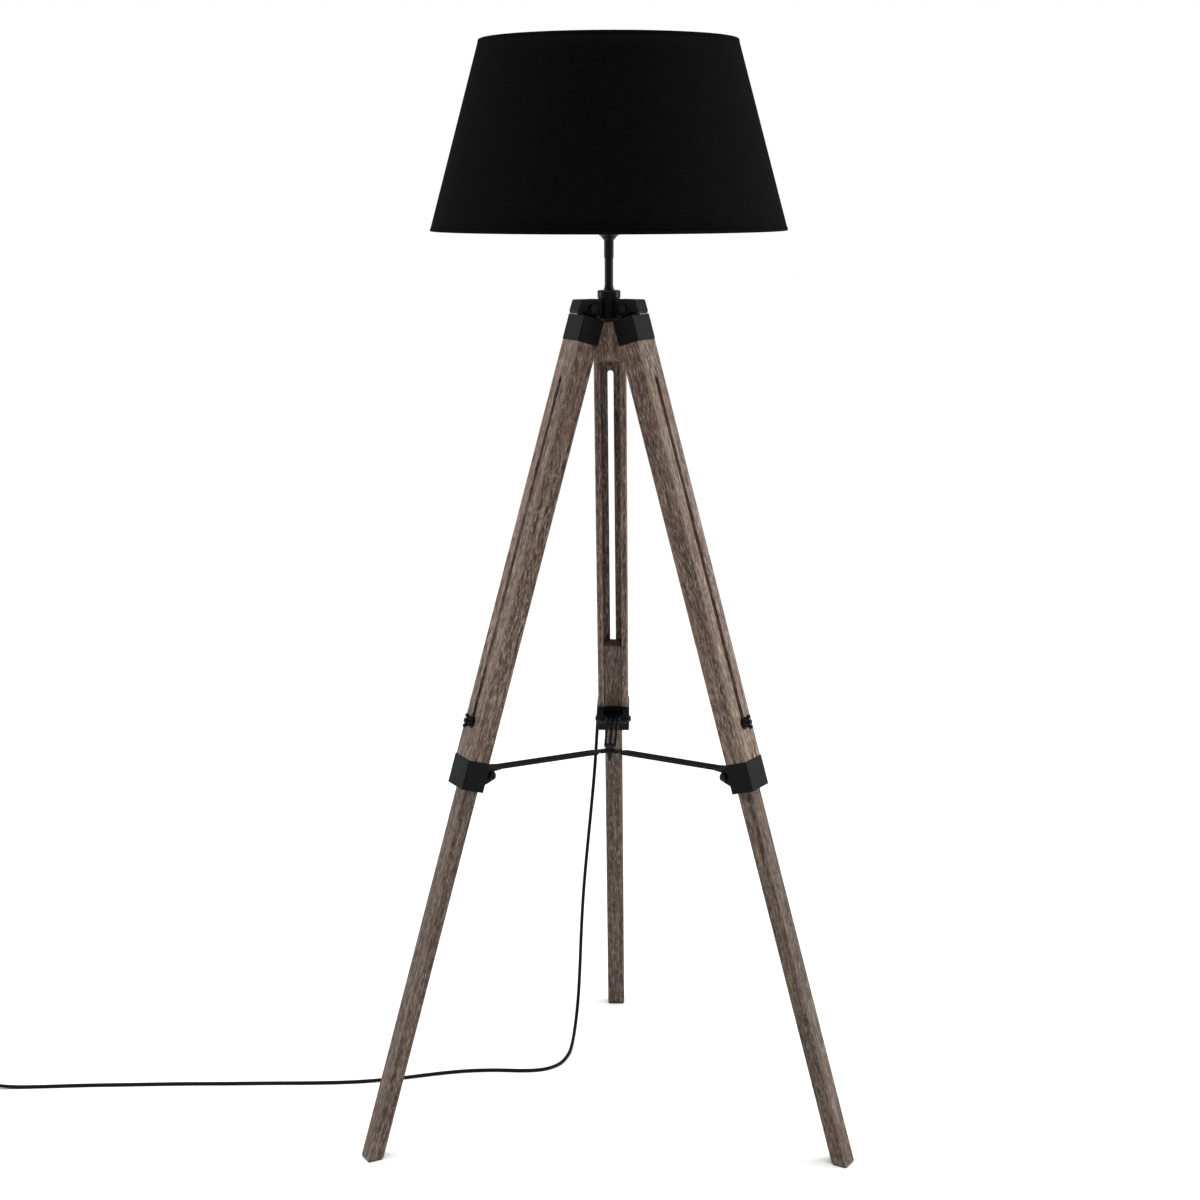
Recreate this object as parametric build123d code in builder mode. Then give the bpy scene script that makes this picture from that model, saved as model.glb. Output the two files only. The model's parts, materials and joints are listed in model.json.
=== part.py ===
"""Tripod floor lamp: folding telescopic wooden legs, three-arm spreader and a tapered drum shade.

Millimetres, +Z up. The origin is on the lamp's axis at floor level. The legs stand at 90 (rear),
210 (left) and 330 (right) degrees. Each leg has its own work plane: the origin is on the leg's hinge,
x points outward through the leg's thickness, y across its width, and z up along the leg.
"""

import os
from math import cos, pi, radians, sin, tan

from build123d import *

os.makedirs("parts", exist_ok=True)

# ---- driving dimensions ------------------------------------------------------------------------
LEGS = {"rear": 90, "left": 210, "right": 330}
LAMP_HEIGHT = 1450
HINGE_RADIUS = 29.5
HINGE_HEIGHT = 1112
LEAN = 16.75  # degrees, each leg from the vertical

# upper leg: a rail with a groove on its inner side and a slot through its back
RAIL_DEPTH = 30
RAIL_WIDTH = 43.4
RAIL_EDGE = 1.6
TENON_DEPTH = 27.4
TENON_WIDTH = 40.8
RAIL_TOP = 16
GROOVE_TOP = 72.4
GROOVE_WIDTH = 26
GROOVE_FLOOR = 7.6
SLOT_WIDTH = 8
SLOT_TOP = 94
SLOT_BOTTOM = 567

# leg cap, with the tongue that hinges in the head
CAP_TOP = 12.5
CAP_LENGTH = 34
CAP_DEPTH = 31.4
CAP_WIDTH = 45
CAP_ROOF = 3.4
TONGUE_WIDTH = 14
BOLT_COVER = 4
TENON_FIT = 0.1
TONGUE_RADIUS = 9
HINGE_BOLT_RADIUS = 3
RUNNING = 0.05  # radial clearance of every pivot

# sleeve at the foot of the upper leg
SLEEVE_TOP = 608.2
SLEEVE_LENGTH = 39.2
SLEEVE_DEPTH = 32.4
SLEEVE_WIDTH = 45.8
SLEEVE_FLOOR = 3.2
EAR_INNER = 14
EAR_OUTER = 20
EAR_RADIUS = 6.5
PIN_DISTANCE = 623.4  # along the leg, from the hinge to the arm's pin
PIN_INSET = -22.7  # across the leg, inward
PIN_RADIUS = 2.5
PIN_HEAD_RADIUS = 4.7
PIN_HALF_LENGTH = 26

# lower leg, clamp bolt, washer and wing nut
LOWER_DEPTH = 20.6
LOWER_WIDTH = 25.2
LOWER_OFFSET = -3
LOWER_TOP = 508
PAD_HEIGHT = 3
BOLT_DISTANCE = 560
BOLT_RADIUS = 3
WASHER_RADIUS = 8.5
WASHER_THICKNESS = 1.5
FACE_GAP = 0.2
NUT_HEIGHT = 11
WING_REACH = 9.5

# spreader
STRIP_WIDTH = 17
STRIP_THICKNESS = 3
STRIP_RISE = 3.5  # of the strip's underside above the arm's pin
EYE_RADIUS = 6.5
EYE_WIDTH = 27.2
STRIP_SLOT_WIDTH = 3
STRIP_SLOT_SIDE = 3.6
ARM_END = 19.2  # from the lamp's axis to the free end of a front arm
HUB_TAB = 17

# head and stem
BOSS_RADIUS = 13.9
BOSS_BOTTOM = 1098
BOSS_TOP = 1124
CHEEK_INNER = 7.5
CHEEK_OUTER = 12
CHEEK_REACH = 52
CHEEK_TOP = 1123
ARM_ROOF = 1.6
ARM_START = 16.5
ARM_WALL_END = 19
ARM_WALL_BOTTOM = 1106.5
WEB_HALF_WIDTH = 5
ARM_FOOT = 1105.2
ARM_END_WALL = 3
BOSS_GROOVE_HEIGHT = 5.6
COLLAR_RADIUS = 15
COLLAR_TOP = 1134
STEM_RADIUS = 5.5
STEM_BORE = 4
STEM_TOP = 1226
STEM_SLEEVE_BOTTOM = 1175.5
STEM_SLEEVE_TOP = 1198.5

# shade and lamp holder
SHADE_BOTTOM = 1210.6
SHADE_BOTTOM_RADIUS = 231.6
SHADE_TOP_RADIUS = 165.8
FABRIC = 1.0
LINING = 0.9
WIRE_RADIUS = 2
CARRIER_HEIGHT = 1237
HOLDER_RADIUS = 19
HOLDER_BORE = 14
HOLDER_BOTTOM = 1220
HOLDER_TOP = 1262
RING_RADIUS = 23
BULB_RADIUS = 30
BULB_CENTRE = 1309
BULB_CAP_RADIUS = 13
BULB_CAP_BOTTOM = 1230
BULB_CAP_TOP = 1257
GLASS = 1.5

# cord
CORD_RADIUS = 2.5
CORD_SIDE = 17.5  # across the rear leg, from its middle to the cord
CORD_STANDOFF = 20  # from the rear leg's middle plane to the cord behind it
CLIPS = (150, 290, 430, 570)  # along the rear leg
CLIP_LENGTH = 9
GLAND_END = 28  # along the rear leg, from the hinge
CORD_LEAVES_LEG = 583
COIL_CENTRE = (-1050, -12.5)
COIL_RADIUS = 27.5
COIL_HEIGHT = 10
SWITCH_CENTRE = -952
SWITCH_SIDE = 16.5
SWITCH_LENGTH = 60
SWITCH_WIDTH = 29
SWITCH_HEIGHT = 17
SWITCH_CORNER = 9
CORD_IN_SWITCH = 7
ROCKER_LENGTH = 20
ROCKER_WIDTH = 12
ROCKER_PIVOT = 13.5
TRUNNION_RADIUS = 1.2
PLUG_BACK = -1004
PLUG_SIDE = -43
PLUG_BOOT = 20
PLUG_WIDTH = 35.3
PLUG_THICKNESS = 13.7
PLUG_LENGTH = 35
PIN_SPACING = 18.6
CORD_IN_PLUG = 6.85

made = {}


def finish(piece, name):
    """Label a finished piece, write its STEP file and keep it for the printed summary."""
    piece.part.label = name
    made[name] = piece.part
    export_step(piece.part, f"parts/{name}.step")


def leg_plane(azimuth):
    """The work plane of the leg at this azimuth."""
    outward = Vector(cos(radians(azimuth)), sin(radians(azimuth)), 0)
    up = Vector(0, 0, 1)
    lean = radians(LEAN)
    return Plane(
        origin=outward * HINGE_RADIUS + up * HINGE_HEIGHT,
        x_dir=outward * cos(lean) + up * sin(lean),
        z_dir=up * cos(lean) - outward * sin(lean),
    )


def side_plane(leg):
    """Side view of a leg: x outward, y up along the leg."""
    return Plane(origin=leg.origin, x_dir=leg.x_dir, z_dir=-leg.y_dir)


def back_plane(leg):
    """View of a leg from outside: x up along the leg, normal outward."""
    return Plane(origin=leg.origin, x_dir=leg.z_dir, z_dir=leg.x_dir)


def on_leg(leg, distance, inset, side):
    """World point from a distance down the leg, a place through its depth and one across its width."""
    return leg.origin - leg.z_dir * distance + leg.x_dir * inset + leg.y_dir * side


# ---- legs --------------------------------------------------------------------------------------
def upper_leg(leg):
    """Wooden rail: tenons at both ends, a groove for the lower leg, and a slot for its bolt."""
    sleeve_tenon_end = SLEEVE_TOP + SLEEVE_LENGTH - SLEEVE_FLOOR
    with BuildPart() as rail:
        with BuildSketch(leg.offset(-(CAP_TOP + CAP_LENGTH))):
            RectangleRounded(RAIL_DEPTH, RAIL_WIDTH, RAIL_EDGE)
        extrude(amount=-(SLEEVE_TOP - CAP_TOP - CAP_LENGTH))
        with BuildSketch(leg.offset(-RAIL_TOP)):
            Rectangle(TENON_DEPTH, TENON_WIDTH)
        extrude(amount=-(sleeve_tenon_end - RAIL_TOP))
        with BuildSketch(leg.offset(-RAIL_TOP)):
            with Locations(((TENON_DEPTH - RAIL_DEPTH) / 4, 0)):
                Rectangle((TENON_DEPTH + RAIL_DEPTH) / 2, TENON_WIDTH)
        extrude(amount=-(CAP_TOP + CAP_LENGTH - RAIL_TOP))
        groove_depth = GROOVE_FLOOR + RAIL_DEPTH
        with BuildSketch(leg.offset(-GROOVE_TOP)):
            with Locations((GROOVE_FLOOR - groove_depth / 2, 0)):
                Rectangle(groove_depth, GROOVE_WIDTH)
        extrude(amount=-(sleeve_tenon_end - GROOVE_TOP), mode=Mode.SUBTRACT)
        with BuildSketch(back_plane(leg)):
            with Locations((-(SLOT_TOP + SLOT_BOTTOM) / 2, 0)):
                SlotOverall(SLOT_BOTTOM - SLOT_TOP, SLOT_WIDTH)
        extrude(amount=RAIL_DEPTH, mode=Mode.SUBTRACT)
    return rail


def leg_cap(leg):
    """Cap over the leg's top, open on its inner side, with a tongue up to the hinge."""
    pocket_depth = (TENON_DEPTH + TENON_FIT + CAP_DEPTH) / 2 + 1
    pocket_middle = (TENON_DEPTH + TENON_FIT - pocket_depth) / 2
    side = side_plane(leg)
    with BuildPart() as cap:
        with BuildSketch(leg.offset(-CAP_TOP)):
            RectangleRounded(CAP_DEPTH, CAP_WIDTH, 2.4)
        extrude(amount=-CAP_LENGTH)
        chamfer(cap.faces().sort_by(SortBy.DISTANCE).first.edges(), length=1)
        with BuildSketch(leg.offset(-CAP_TOP - CAP_ROOF)):
            with Locations((pocket_middle, 0)):
                Rectangle(pocket_depth, TENON_WIDTH + TENON_FIT)
        extrude(amount=-CAP_LENGTH, mode=Mode.SUBTRACT)
        with BuildSketch(side.offset(-TONGUE_WIDTH / 2)):
            Circle(TONGUE_RADIUS)
            with Locations((0, -CAP_TOP - 1)):
                Rectangle(22, 2)
            make_hull()
        extrude(amount=TONGUE_WIDTH)
        with BuildSketch(side.offset(-TONGUE_WIDTH)):
            Circle(HINGE_BOLT_RADIUS + RUNNING)
        extrude(amount=2 * TONGUE_WIDTH, mode=Mode.SUBTRACT)
    return cap


def leg_sleeve(leg):
    """Sleeve over the leg's bottom tenon, with two ears for the spreader arm's pin."""
    side = side_plane(leg)
    with BuildPart() as sleeve:
        with BuildSketch(leg.offset(-SLEEVE_TOP)):
            RectangleRounded(SLEEVE_DEPTH, SLEEVE_WIDTH, 2.4)
        extrude(amount=-SLEEVE_LENGTH)
        for sign in (-1, 1):
            with BuildSketch(side.offset(sign * EAR_INNER)):
                with Locations((PIN_INSET, -PIN_DISTANCE)):
                    Circle(EAR_RADIUS)
                with Locations((-SLEEVE_DEPTH / 2 + 1, -PIN_DISTANCE - 1)):
                    Rectangle(2, 4 * EAR_RADIUS)
                make_hull()
            extrude(amount=sign * (EAR_OUTER - EAR_INNER))
        with BuildSketch(leg.offset(-SLEEVE_TOP)):
            Rectangle(TENON_DEPTH + 0.1, TENON_WIDTH + 0.1)
        extrude(amount=-(SLEEVE_LENGTH - SLEEVE_FLOOR), mode=Mode.SUBTRACT)
        with BuildSketch(leg.offset(-SLEEVE_TOP)):
            with Locations((LOWER_OFFSET, 0)):
                Rectangle(LOWER_DEPTH + 0.8, LOWER_WIDTH + 0.8)
        extrude(amount=-2 * SLEEVE_LENGTH, mode=Mode.SUBTRACT)
        with BuildSketch(side.offset(-EAR_OUTER)):
            with Locations((PIN_INSET, -PIN_DISTANCE)):
                Circle(PIN_RADIUS)
        extrude(amount=2 * EAR_OUTER, mode=Mode.SUBTRACT)
    return sleeve


def arm_pin(leg):
    """Pin across the sleeve's ears, with a domed head outside each ear."""
    side = side_plane(leg)
    with BuildPart() as pin:
        with BuildSketch(side.offset(-EAR_OUTER)):
            with Locations((PIN_INSET, -PIN_DISTANCE)):
                Circle(PIN_RADIUS)
        extrude(amount=2 * EAR_OUTER)
        for sign in (-1, 1):
            with BuildSketch(side.offset(sign * EAR_OUTER)):
                with Locations((PIN_INSET, -PIN_DISTANCE)):
                    Circle(PIN_HEAD_RADIUS)
            extrude(amount=sign * (PIN_HALF_LENGTH - EAR_OUTER))
        ends = pin.edges().filter_by(GeomType.CIRCLE).sort_by(Axis(leg.origin, leg.y_dir))
        fillet([ends[0], ends[-1]], radius=3)
    return pin


def lower_leg(leg):
    """Wooden batten that slides in the groove, cut level just above the floor."""
    with BuildPart() as batten:
        with BuildSketch(leg.offset(-LOWER_TOP)):
            with Locations((LOWER_OFFSET, 0)):
                RectangleRounded(LOWER_DEPTH, LOWER_WIDTH, 1.2)
        extrude(amount=-(HINGE_HEIGHT / cos(radians(LEAN)) - LOWER_TOP + RAIL_DEPTH))
        split(bisect_by=Plane.XY.offset(PAD_HEIGHT), keep=Keep.TOP)
        inner_face = LOWER_OFFSET - LOWER_DEPTH / 2
        with BuildSketch(back_plane(leg).offset(inner_face + BOLT_COVER)):
            with Locations((-BOLT_DISTANCE, 0)):
                Circle(BOLT_RADIUS)
        extrude(amount=RAIL_DEPTH, mode=Mode.SUBTRACT)
    return batten


def foot_pad(azimuth):
    """Glide under the lower leg's level end."""
    outward = Vector(cos(radians(azimuth)), sin(radians(azimuth)), 0)
    middle = HINGE_RADIUS + HINGE_HEIGHT * tan(radians(LEAN)) + LOWER_OFFSET / cos(radians(LEAN))
    floor = Plane(origin=outward * middle, x_dir=outward, z_dir=(0, 0, 1))
    with BuildPart() as pad:
        with BuildSketch(floor):
            RectangleRounded(LOWER_DEPTH / cos(radians(LEAN)) - 1.5, LOWER_WIDTH - 1.5, 1.5)
        extrude(amount=PAD_HEIGHT)
        chamfer(pad.faces().sort_by(Axis.Z).first.edges(), length=0.6)
    return pad


def clamp_bolt(leg):
    """Shank set blind into the lower leg, and out through the slot."""
    shank_start = LOWER_OFFSET - LOWER_DEPTH / 2 + BOLT_COVER
    shank_end = RAIL_DEPTH / 2 + FACE_GAP + WASHER_THICKNESS + NUT_HEIGHT - 1.5
    with BuildPart() as bolt:
        with BuildSketch(back_plane(leg).offset(shank_start)):
            with Locations((-BOLT_DISTANCE, 0)):
                Circle(BOLT_RADIUS)
        extrude(amount=shank_end - shank_start)
    return bolt


def washer(leg):
    """Plain washer on the back of the upper leg."""
    with BuildPart() as ring:
        with BuildSketch(back_plane(leg).offset(RAIL_DEPTH / 2 + FACE_GAP)):
            with Locations((-BOLT_DISTANCE, 0)):
                Circle(WASHER_RADIUS)
                Circle(BOLT_RADIUS, mode=Mode.SUBTRACT)
        extrude(amount=WASHER_THICKNESS)
    return ring


def wing_nut(plane, base_radius, reach, height):
    """Wing nut standing on this plane, with its wings along the plane's x."""
    wing = Plane(origin=plane.origin, x_dir=plane.x_dir, z_dir=-plane.y_dir)
    with BuildPart() as nut:
        with BuildSketch(plane):
            Circle(base_radius)
        extrude(amount=height * 0.55, taper=6)
        with BuildSketch(wing.offset(-1.4)):
            for sign in (-1, 1):
                with BuildLine():
                    Polyline(
                        (0, height * 0.15),
                        (sign * base_radius, height * 0.15),
                        (sign * reach, height * 0.75),
                        (sign * (reach - 1.4), height),
                        (sign * (reach - 4.2), height * 0.9),
                        (sign * base_radius * 0.35, height * 0.5),
                        (0, height * 0.5),
                        close=True,
                    )
                make_face()
        extrude(amount=2.8)
        with BuildSketch(plane.offset(-1)):
            Circle(BOLT_RADIUS + RUNNING)
        extrude(amount=height + 2, mode=Mode.SUBTRACT)
    return nut


for name, azimuth in LEGS.items():
    leg = leg_plane(azimuth)
    finish(upper_leg(leg), f"upper_leg_{name}")
    finish(leg_cap(leg), f"leg_cap_{name}")
    finish(leg_sleeve(leg), f"leg_sleeve_{name}")
    finish(arm_pin(leg), f"arm_pin_{name}")
    finish(lower_leg(leg), f"lower_leg_{name}")
    finish(foot_pad(azimuth), f"foot_pad_{name}")
    finish(clamp_bolt(leg), f"clamp_bolt_{name}")
    finish(washer(leg), f"clamp_washer_{name}")
    nut_seat = RAIL_DEPTH / 2 + 2 * FACE_GAP + WASHER_THICKNESS
    seat = Plane(origin=on_leg(leg, BOLT_DISTANCE, nut_seat, 0), x_dir=leg.z_dir, z_dir=leg.x_dir)
    finish(wing_nut(seat, 6, WING_REACH, NUT_HEIGHT), f"wing_nut_{name}")


# ---- spreader ----------------------------------------------------------------------------------
def arm_plane(azimuth):
    """Work plane of a spreader arm: origin on its pin, x toward the lamp's axis, z up."""
    outward = Vector(cos(radians(azimuth)), sin(radians(azimuth)), 0)
    pin = on_leg(leg_plane(azimuth), PIN_DISTANCE, PIN_INSET, 0)
    return Plane(origin=pin, x_dir=-outward, z_dir=(0, 0, 1))


def pin_radius_from_axis():
    """Distance from the lamp's axis to an arm's pin."""
    pin = on_leg(leg_plane(0), PIN_DISTANCE, PIN_INSET, 0)
    return pin.X


def spreader_arm(azimuth, end):
    """Steel strip with two long slots, rolled into an eye around the pin."""
    plane = arm_plane(azimuth)
    length = pin_radius_from_axis() - end
    eye = Plane(origin=plane.origin, x_dir=plane.x_dir, z_dir=plane.y_dir)
    slot_start = 15
    slot_end = length - 12
    with BuildPart() as arm:
        with BuildSketch(plane.offset(STRIP_RISE)):
            with BuildLine():
                Polyline(
                    (0, -EYE_WIDTH / 2),
                    (8, -EYE_WIDTH / 2),
                    (22, -STRIP_WIDTH / 2),
                    (length - 4, -STRIP_WIDTH / 2),
                    (length, -STRIP_WIDTH / 2 + 3),
                    (length, STRIP_WIDTH / 2 - 3),
                    (length - 4, STRIP_WIDTH / 2),
                    (22, STRIP_WIDTH / 2),
                    (8, EYE_WIDTH / 2),
                    (0, EYE_WIDTH / 2),
                    close=True,
                )
            make_face()
            with Locations(((slot_start + slot_end) / 2, 0)):
                with GridLocations(0, 2 * STRIP_SLOT_SIDE, 1, 2):
                    SlotOverall(slot_end - slot_start, STRIP_SLOT_WIDTH, mode=Mode.SUBTRACT)
        extrude(amount=STRIP_THICKNESS)
        with BuildSketch(eye.offset(-EYE_WIDTH / 2)):
            Circle(EYE_RADIUS)
        extrude(amount=EYE_WIDTH)
        with BuildSketch(eye.offset(-EYE_WIDTH)):
            Circle(PIN_RADIUS + RUNNING)
        extrude(amount=2 * EYE_WIDTH, mode=Mode.SUBTRACT)
    return arm


strip_bottom = on_leg(leg_plane(0), PIN_DISTANCE, PIN_INSET, 0).Z + STRIP_RISE
strip_top = strip_bottom + STRIP_THICKNESS
finish(spreader_arm(LEGS["rear"], HUB_TAB), "spreader_arm_rear")
finish(spreader_arm(LEGS["left"], ARM_END), "spreader_arm_left")
finish(spreader_arm(LEGS["right"], ARM_END), "spreader_arm_right")

with BuildPart() as spreader_hub:
    with BuildSketch(Plane.XY.offset(strip_bottom)):
        Circle(6.5)
        with PolarLocations(HUB_TAB / 2, 3, start_angle=90):
            Rectangle(HUB_TAB, 12)
        Circle(BOLT_RADIUS, mode=Mode.SUBTRACT)
    extrude(amount=STRIP_THICKNESS)
finish(spreader_hub, "spreader_hub")

with BuildPart() as hub_rivets:
    with BuildSketch(Plane.XY.offset(strip_top)):
        with PolarLocations(12, 3, start_angle=90):
            Circle(2.6)
    extrude(amount=1.6)
    fillet(hub_rivets.faces().sort_by(Axis.Z)[-3:].edges(), radius=1)
finish(hub_rivets, "hub_rivets")

with BuildPart() as hub_bolt:
    with BuildSketch(Plane.XY.offset(strip_top)):
        Circle(6.5)
    extrude(amount=4)
    fillet(hub_bolt.faces().sort_by(Axis.Z).last.edges(), radius=2.5)
    with BuildSketch(Plane.XY.offset(strip_top)):
        Circle(BOLT_RADIUS)
    extrude(amount=-STRIP_THICKNESS - 12)
finish(hub_bolt, "hub_bolt")

hub_nut_seat = Plane(origin=(0, 0, strip_bottom - FACE_GAP), x_dir=(0, 1, 0), z_dir=(0, 0, -1))
finish(wing_nut(hub_nut_seat, 5.2, 7, 13.5), "hub_wing_nut")


# ---- head --------------------------------------------------------------------------------------
def radial_plane(azimuth):
    """Vertical plane through the axis at this azimuth: x outward, y up."""
    outward = Vector(cos(radians(azimuth)), sin(radians(azimuth)), 0)
    return Plane(origin=(0, 0, 0), x_dir=outward, z_dir=outward.cross(Vector(0, 0, 1)))


def arm_end():
    """The outer end of a head arm in side view, from its foot, which stops the leg, to its top."""
    return [
        (CHEEK_REACH - 0.8, ARM_FOOT),
        (CHEEK_REACH, ARM_FOOT + 3.8),
        (CHEEK_REACH - 4.4, CHEEK_TOP - 1),
        (CHEEK_REACH - 6, CHEEK_TOP),
    ]


with BuildPart() as head_hub:
    with BuildSketch(Plane.XY.offset(BOSS_BOTTOM)):
        Circle(BOSS_RADIUS)
    extrude(amount=BOSS_TOP - BOSS_BOTTOM)
    with BuildSketch(Plane.XY.offset(BOSS_BOTTOM + BOSS_GROOVE_HEIGHT)):
        Circle(BOSS_RADIUS + 1)
        Circle(BOSS_RADIUS - 0.8, mode=Mode.SUBTRACT)
    extrude(amount=1.2, mode=Mode.SUBTRACT)
    for azimuth in LEGS.values():
        for sign in (-1, 1):
            with BuildSketch(radial_plane(azimuth).offset(sign * CHEEK_INNER)):
                with BuildLine():
                    Polyline(
                        (ARM_START, 1100.6),
                        (33, 1103.6),
                        (40, 1107.5),
                        (46, 1107.8),
                        (CHEEK_REACH - ARM_END_WALL, ARM_FOOT),
                        *arm_end(),
                        (ARM_START, CHEEK_TOP),
                        close=True,
                    )
                make_face()
                with Locations((HINGE_RADIUS, HINGE_HEIGHT)):
                    Circle(HINGE_BOLT_RADIUS, mode=Mode.SUBTRACT)
            extrude(amount=sign * (CHEEK_OUTER - CHEEK_INNER))
        with BuildSketch(radial_plane(azimuth).offset(-CHEEK_INNER)):
            with BuildLine():
                Polyline(
                    (CHEEK_REACH - ARM_END_WALL, ARM_FOOT),
                    *arm_end(),
                    (BOSS_RADIUS - 2, CHEEK_TOP),
                    (BOSS_RADIUS - 2, CHEEK_TOP - ARM_ROOF),
                    (CHEEK_REACH - 4.4 - ARM_END_WALL, CHEEK_TOP - ARM_ROOF),
                    (CHEEK_REACH - ARM_END_WALL, ARM_FOOT + 3.8),
                    close=True,
                )
            make_face()
        extrude(amount=2 * CHEEK_INNER)
        # wall across the arm's inner end, and the web that ties it to the boss
        wall_middle = (ARM_START + ARM_WALL_END) / 2
        for reach, middle, half_width in (
            (ARM_WALL_END - ARM_START, wall_middle, CHEEK_OUTER),
            (ARM_WALL_END, ARM_WALL_END / 2, WEB_HALF_WIDTH),
        ):
            with BuildSketch(radial_plane(azimuth).offset(-half_width)):
                with Locations((middle, (CHEEK_TOP + ARM_WALL_BOTTOM) / 2)):
                    Rectangle(reach, CHEEK_TOP - ARM_WALL_BOTTOM)
            extrude(amount=2 * half_width)
    with BuildSketch(Plane.XY.offset(BOSS_BOTTOM)):
        Circle(STEM_RADIUS)
    extrude(amount=BOSS_TOP - BOSS_BOTTOM, mode=Mode.SUBTRACT)
finish(head_hub, "head_hub")

with BuildPart() as hinge_bolts:
    for azimuth in LEGS.values():
        across = radial_plane(azimuth)
        with BuildSketch(across.offset(-CHEEK_OUTER - 4)):
            with Locations((HINGE_RADIUS, HINGE_HEIGHT)):
                Circle(HINGE_BOLT_RADIUS)
        extrude(amount=2 * CHEEK_OUTER + 8)
        with BuildSketch(across.offset(CHEEK_OUTER)):
            with Locations((HINGE_RADIUS, HINGE_HEIGHT)):
                Circle(5)
        extrude(amount=3.2)
finish(hinge_bolts, "hinge_bolts")

with BuildPart() as hinge_nuts:
    for azimuth in LEGS.values():
        with BuildSketch(radial_plane(azimuth).offset(-CHEEK_OUTER)):
            with Locations((HINGE_RADIUS, HINGE_HEIGHT)):
                RegularPolygon(5, 6, major_radius=False)
                Circle(HINGE_BOLT_RADIUS, mode=Mode.SUBTRACT)
        extrude(amount=-3.6)
finish(hinge_nuts, "hinge_nuts")

with BuildPart() as stem_collar:
    with BuildSketch(Plane.XZ):
        with BuildLine():
            Polyline(
                (STEM_RADIUS, BOSS_TOP),
                (COLLAR_RADIUS - 0.8, BOSS_TOP),
                (COLLAR_RADIUS, BOSS_TOP + 0.8),
                (COLLAR_RADIUS, COLLAR_TOP - 1.2),
                (COLLAR_RADIUS - 1.2, COLLAR_TOP),
                (7.2, COLLAR_TOP),
            )
            Spline((7.2, COLLAR_TOP), (6.2, COLLAR_TOP + 3), (STEM_RADIUS, COLLAR_TOP + 8))
            Line((STEM_RADIUS, COLLAR_TOP + 8), (STEM_RADIUS, BOSS_TOP))
        make_face()
    revolve(axis=Axis.Z)
finish(stem_collar, "stem_collar")

with BuildPart() as stem_tube:
    with BuildSketch(Plane.XY.offset(BOSS_BOTTOM - 5)):
        Circle(STEM_RADIUS)
        Circle(STEM_BORE, mode=Mode.SUBTRACT)
    extrude(amount=STEM_TOP - BOSS_BOTTOM + 5)
finish(stem_tube, "stem_tube")

with BuildPart() as stem_nut:
    with BuildSketch(Plane.XY.offset(BOSS_BOTTOM)):
        RegularPolygon(9.5, 6, major_radius=False)
        Circle(STEM_RADIUS, mode=Mode.SUBTRACT)
    extrude(amount=-5)
finish(stem_nut, "stem_nut")

with BuildPart() as stem_sleeve:
    with BuildSketch(Plane.XY.offset(STEM_SLEEVE_BOTTOM)):
        Circle(STEM_RADIUS + 0.7)
        Circle(STEM_RADIUS, mode=Mode.SUBTRACT)
    extrude(amount=STEM_SLEEVE_TOP - STEM_SLEEVE_BOTTOM)
finish(stem_sleeve, "stem_sleeve")


# ---- lamp holder and bulb ----------------------------------------------------------------------
with BuildPart() as holder_cup:
    with BuildSketch(Plane.XZ):
        with BuildLine():
            Polyline(
                (STEM_RADIUS, STEM_SLEEVE_TOP),
                (6.6, STEM_SLEEVE_TOP),
                (11, STEM_SLEEVE_TOP + 5.1),
                (16, STEM_SLEEVE_TOP + 8.3),
                (HOLDER_RADIUS, HOLDER_BOTTOM - 8),
                (HOLDER_RADIUS, HOLDER_BOTTOM),
                (HOLDER_RADIUS - 2, HOLDER_BOTTOM),
                (HOLDER_RADIUS - 2, HOLDER_BOTTOM - 7),
                (14.6, STEM_SLEEVE_TOP + 10.3),
                (10, STEM_SLEEVE_TOP + 7.5),
                (STEM_RADIUS, STEM_SLEEVE_TOP + 5.5),
                close=True,
            )
        make_face()
    revolve(axis=Axis.Z)
finish(holder_cup, "holder_cup")

flange_top = CARRIER_HEIGHT - 1
holder_floor = HOLDER_BOTTOM + 8
with BuildPart() as lamp_holder:
    with BuildSketch(Plane.XZ):
        with BuildLine():
            Polyline(
                (STEM_RADIUS, HOLDER_BOTTOM),
                (HOLDER_RADIUS, HOLDER_BOTTOM),
                (HOLDER_RADIUS, flange_top - 3),
                (HOLDER_RADIUS + 3, flange_top - 3),
                (HOLDER_RADIUS + 3, flange_top),
                (HOLDER_RADIUS, flange_top),
                (HOLDER_RADIUS, HOLDER_TOP),
                (HOLDER_BORE, HOLDER_TOP),
                (HOLDER_BORE, holder_floor),
                (STEM_RADIUS, holder_floor),
                close=True,
            )
        make_face()
    revolve(axis=Axis.Z)
finish(lamp_holder, "lamp_holder")

with BuildPart() as shade_ring_nut:
    with BuildSketch(Plane.XY.offset(CARRIER_HEIGHT + 1)):
        Circle(RING_RADIUS)
        Circle(HOLDER_RADIUS, mode=Mode.SUBTRACT)
    extrude(amount=8)
    chamfer(shade_ring_nut.faces().sort_by(Axis.Z).last.edges(), length=1)
finish(shade_ring_nut, "shade_ring_nut")

with BuildPart() as bulb_cap:
    with BuildSketch(Plane.XY.offset(BULB_CAP_BOTTOM)):
        Circle(BULB_CAP_RADIUS)
    extrude(amount=BULB_CAP_TOP - BULB_CAP_BOTTOM)
finish(bulb_cap, "bulb_cap")

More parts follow.
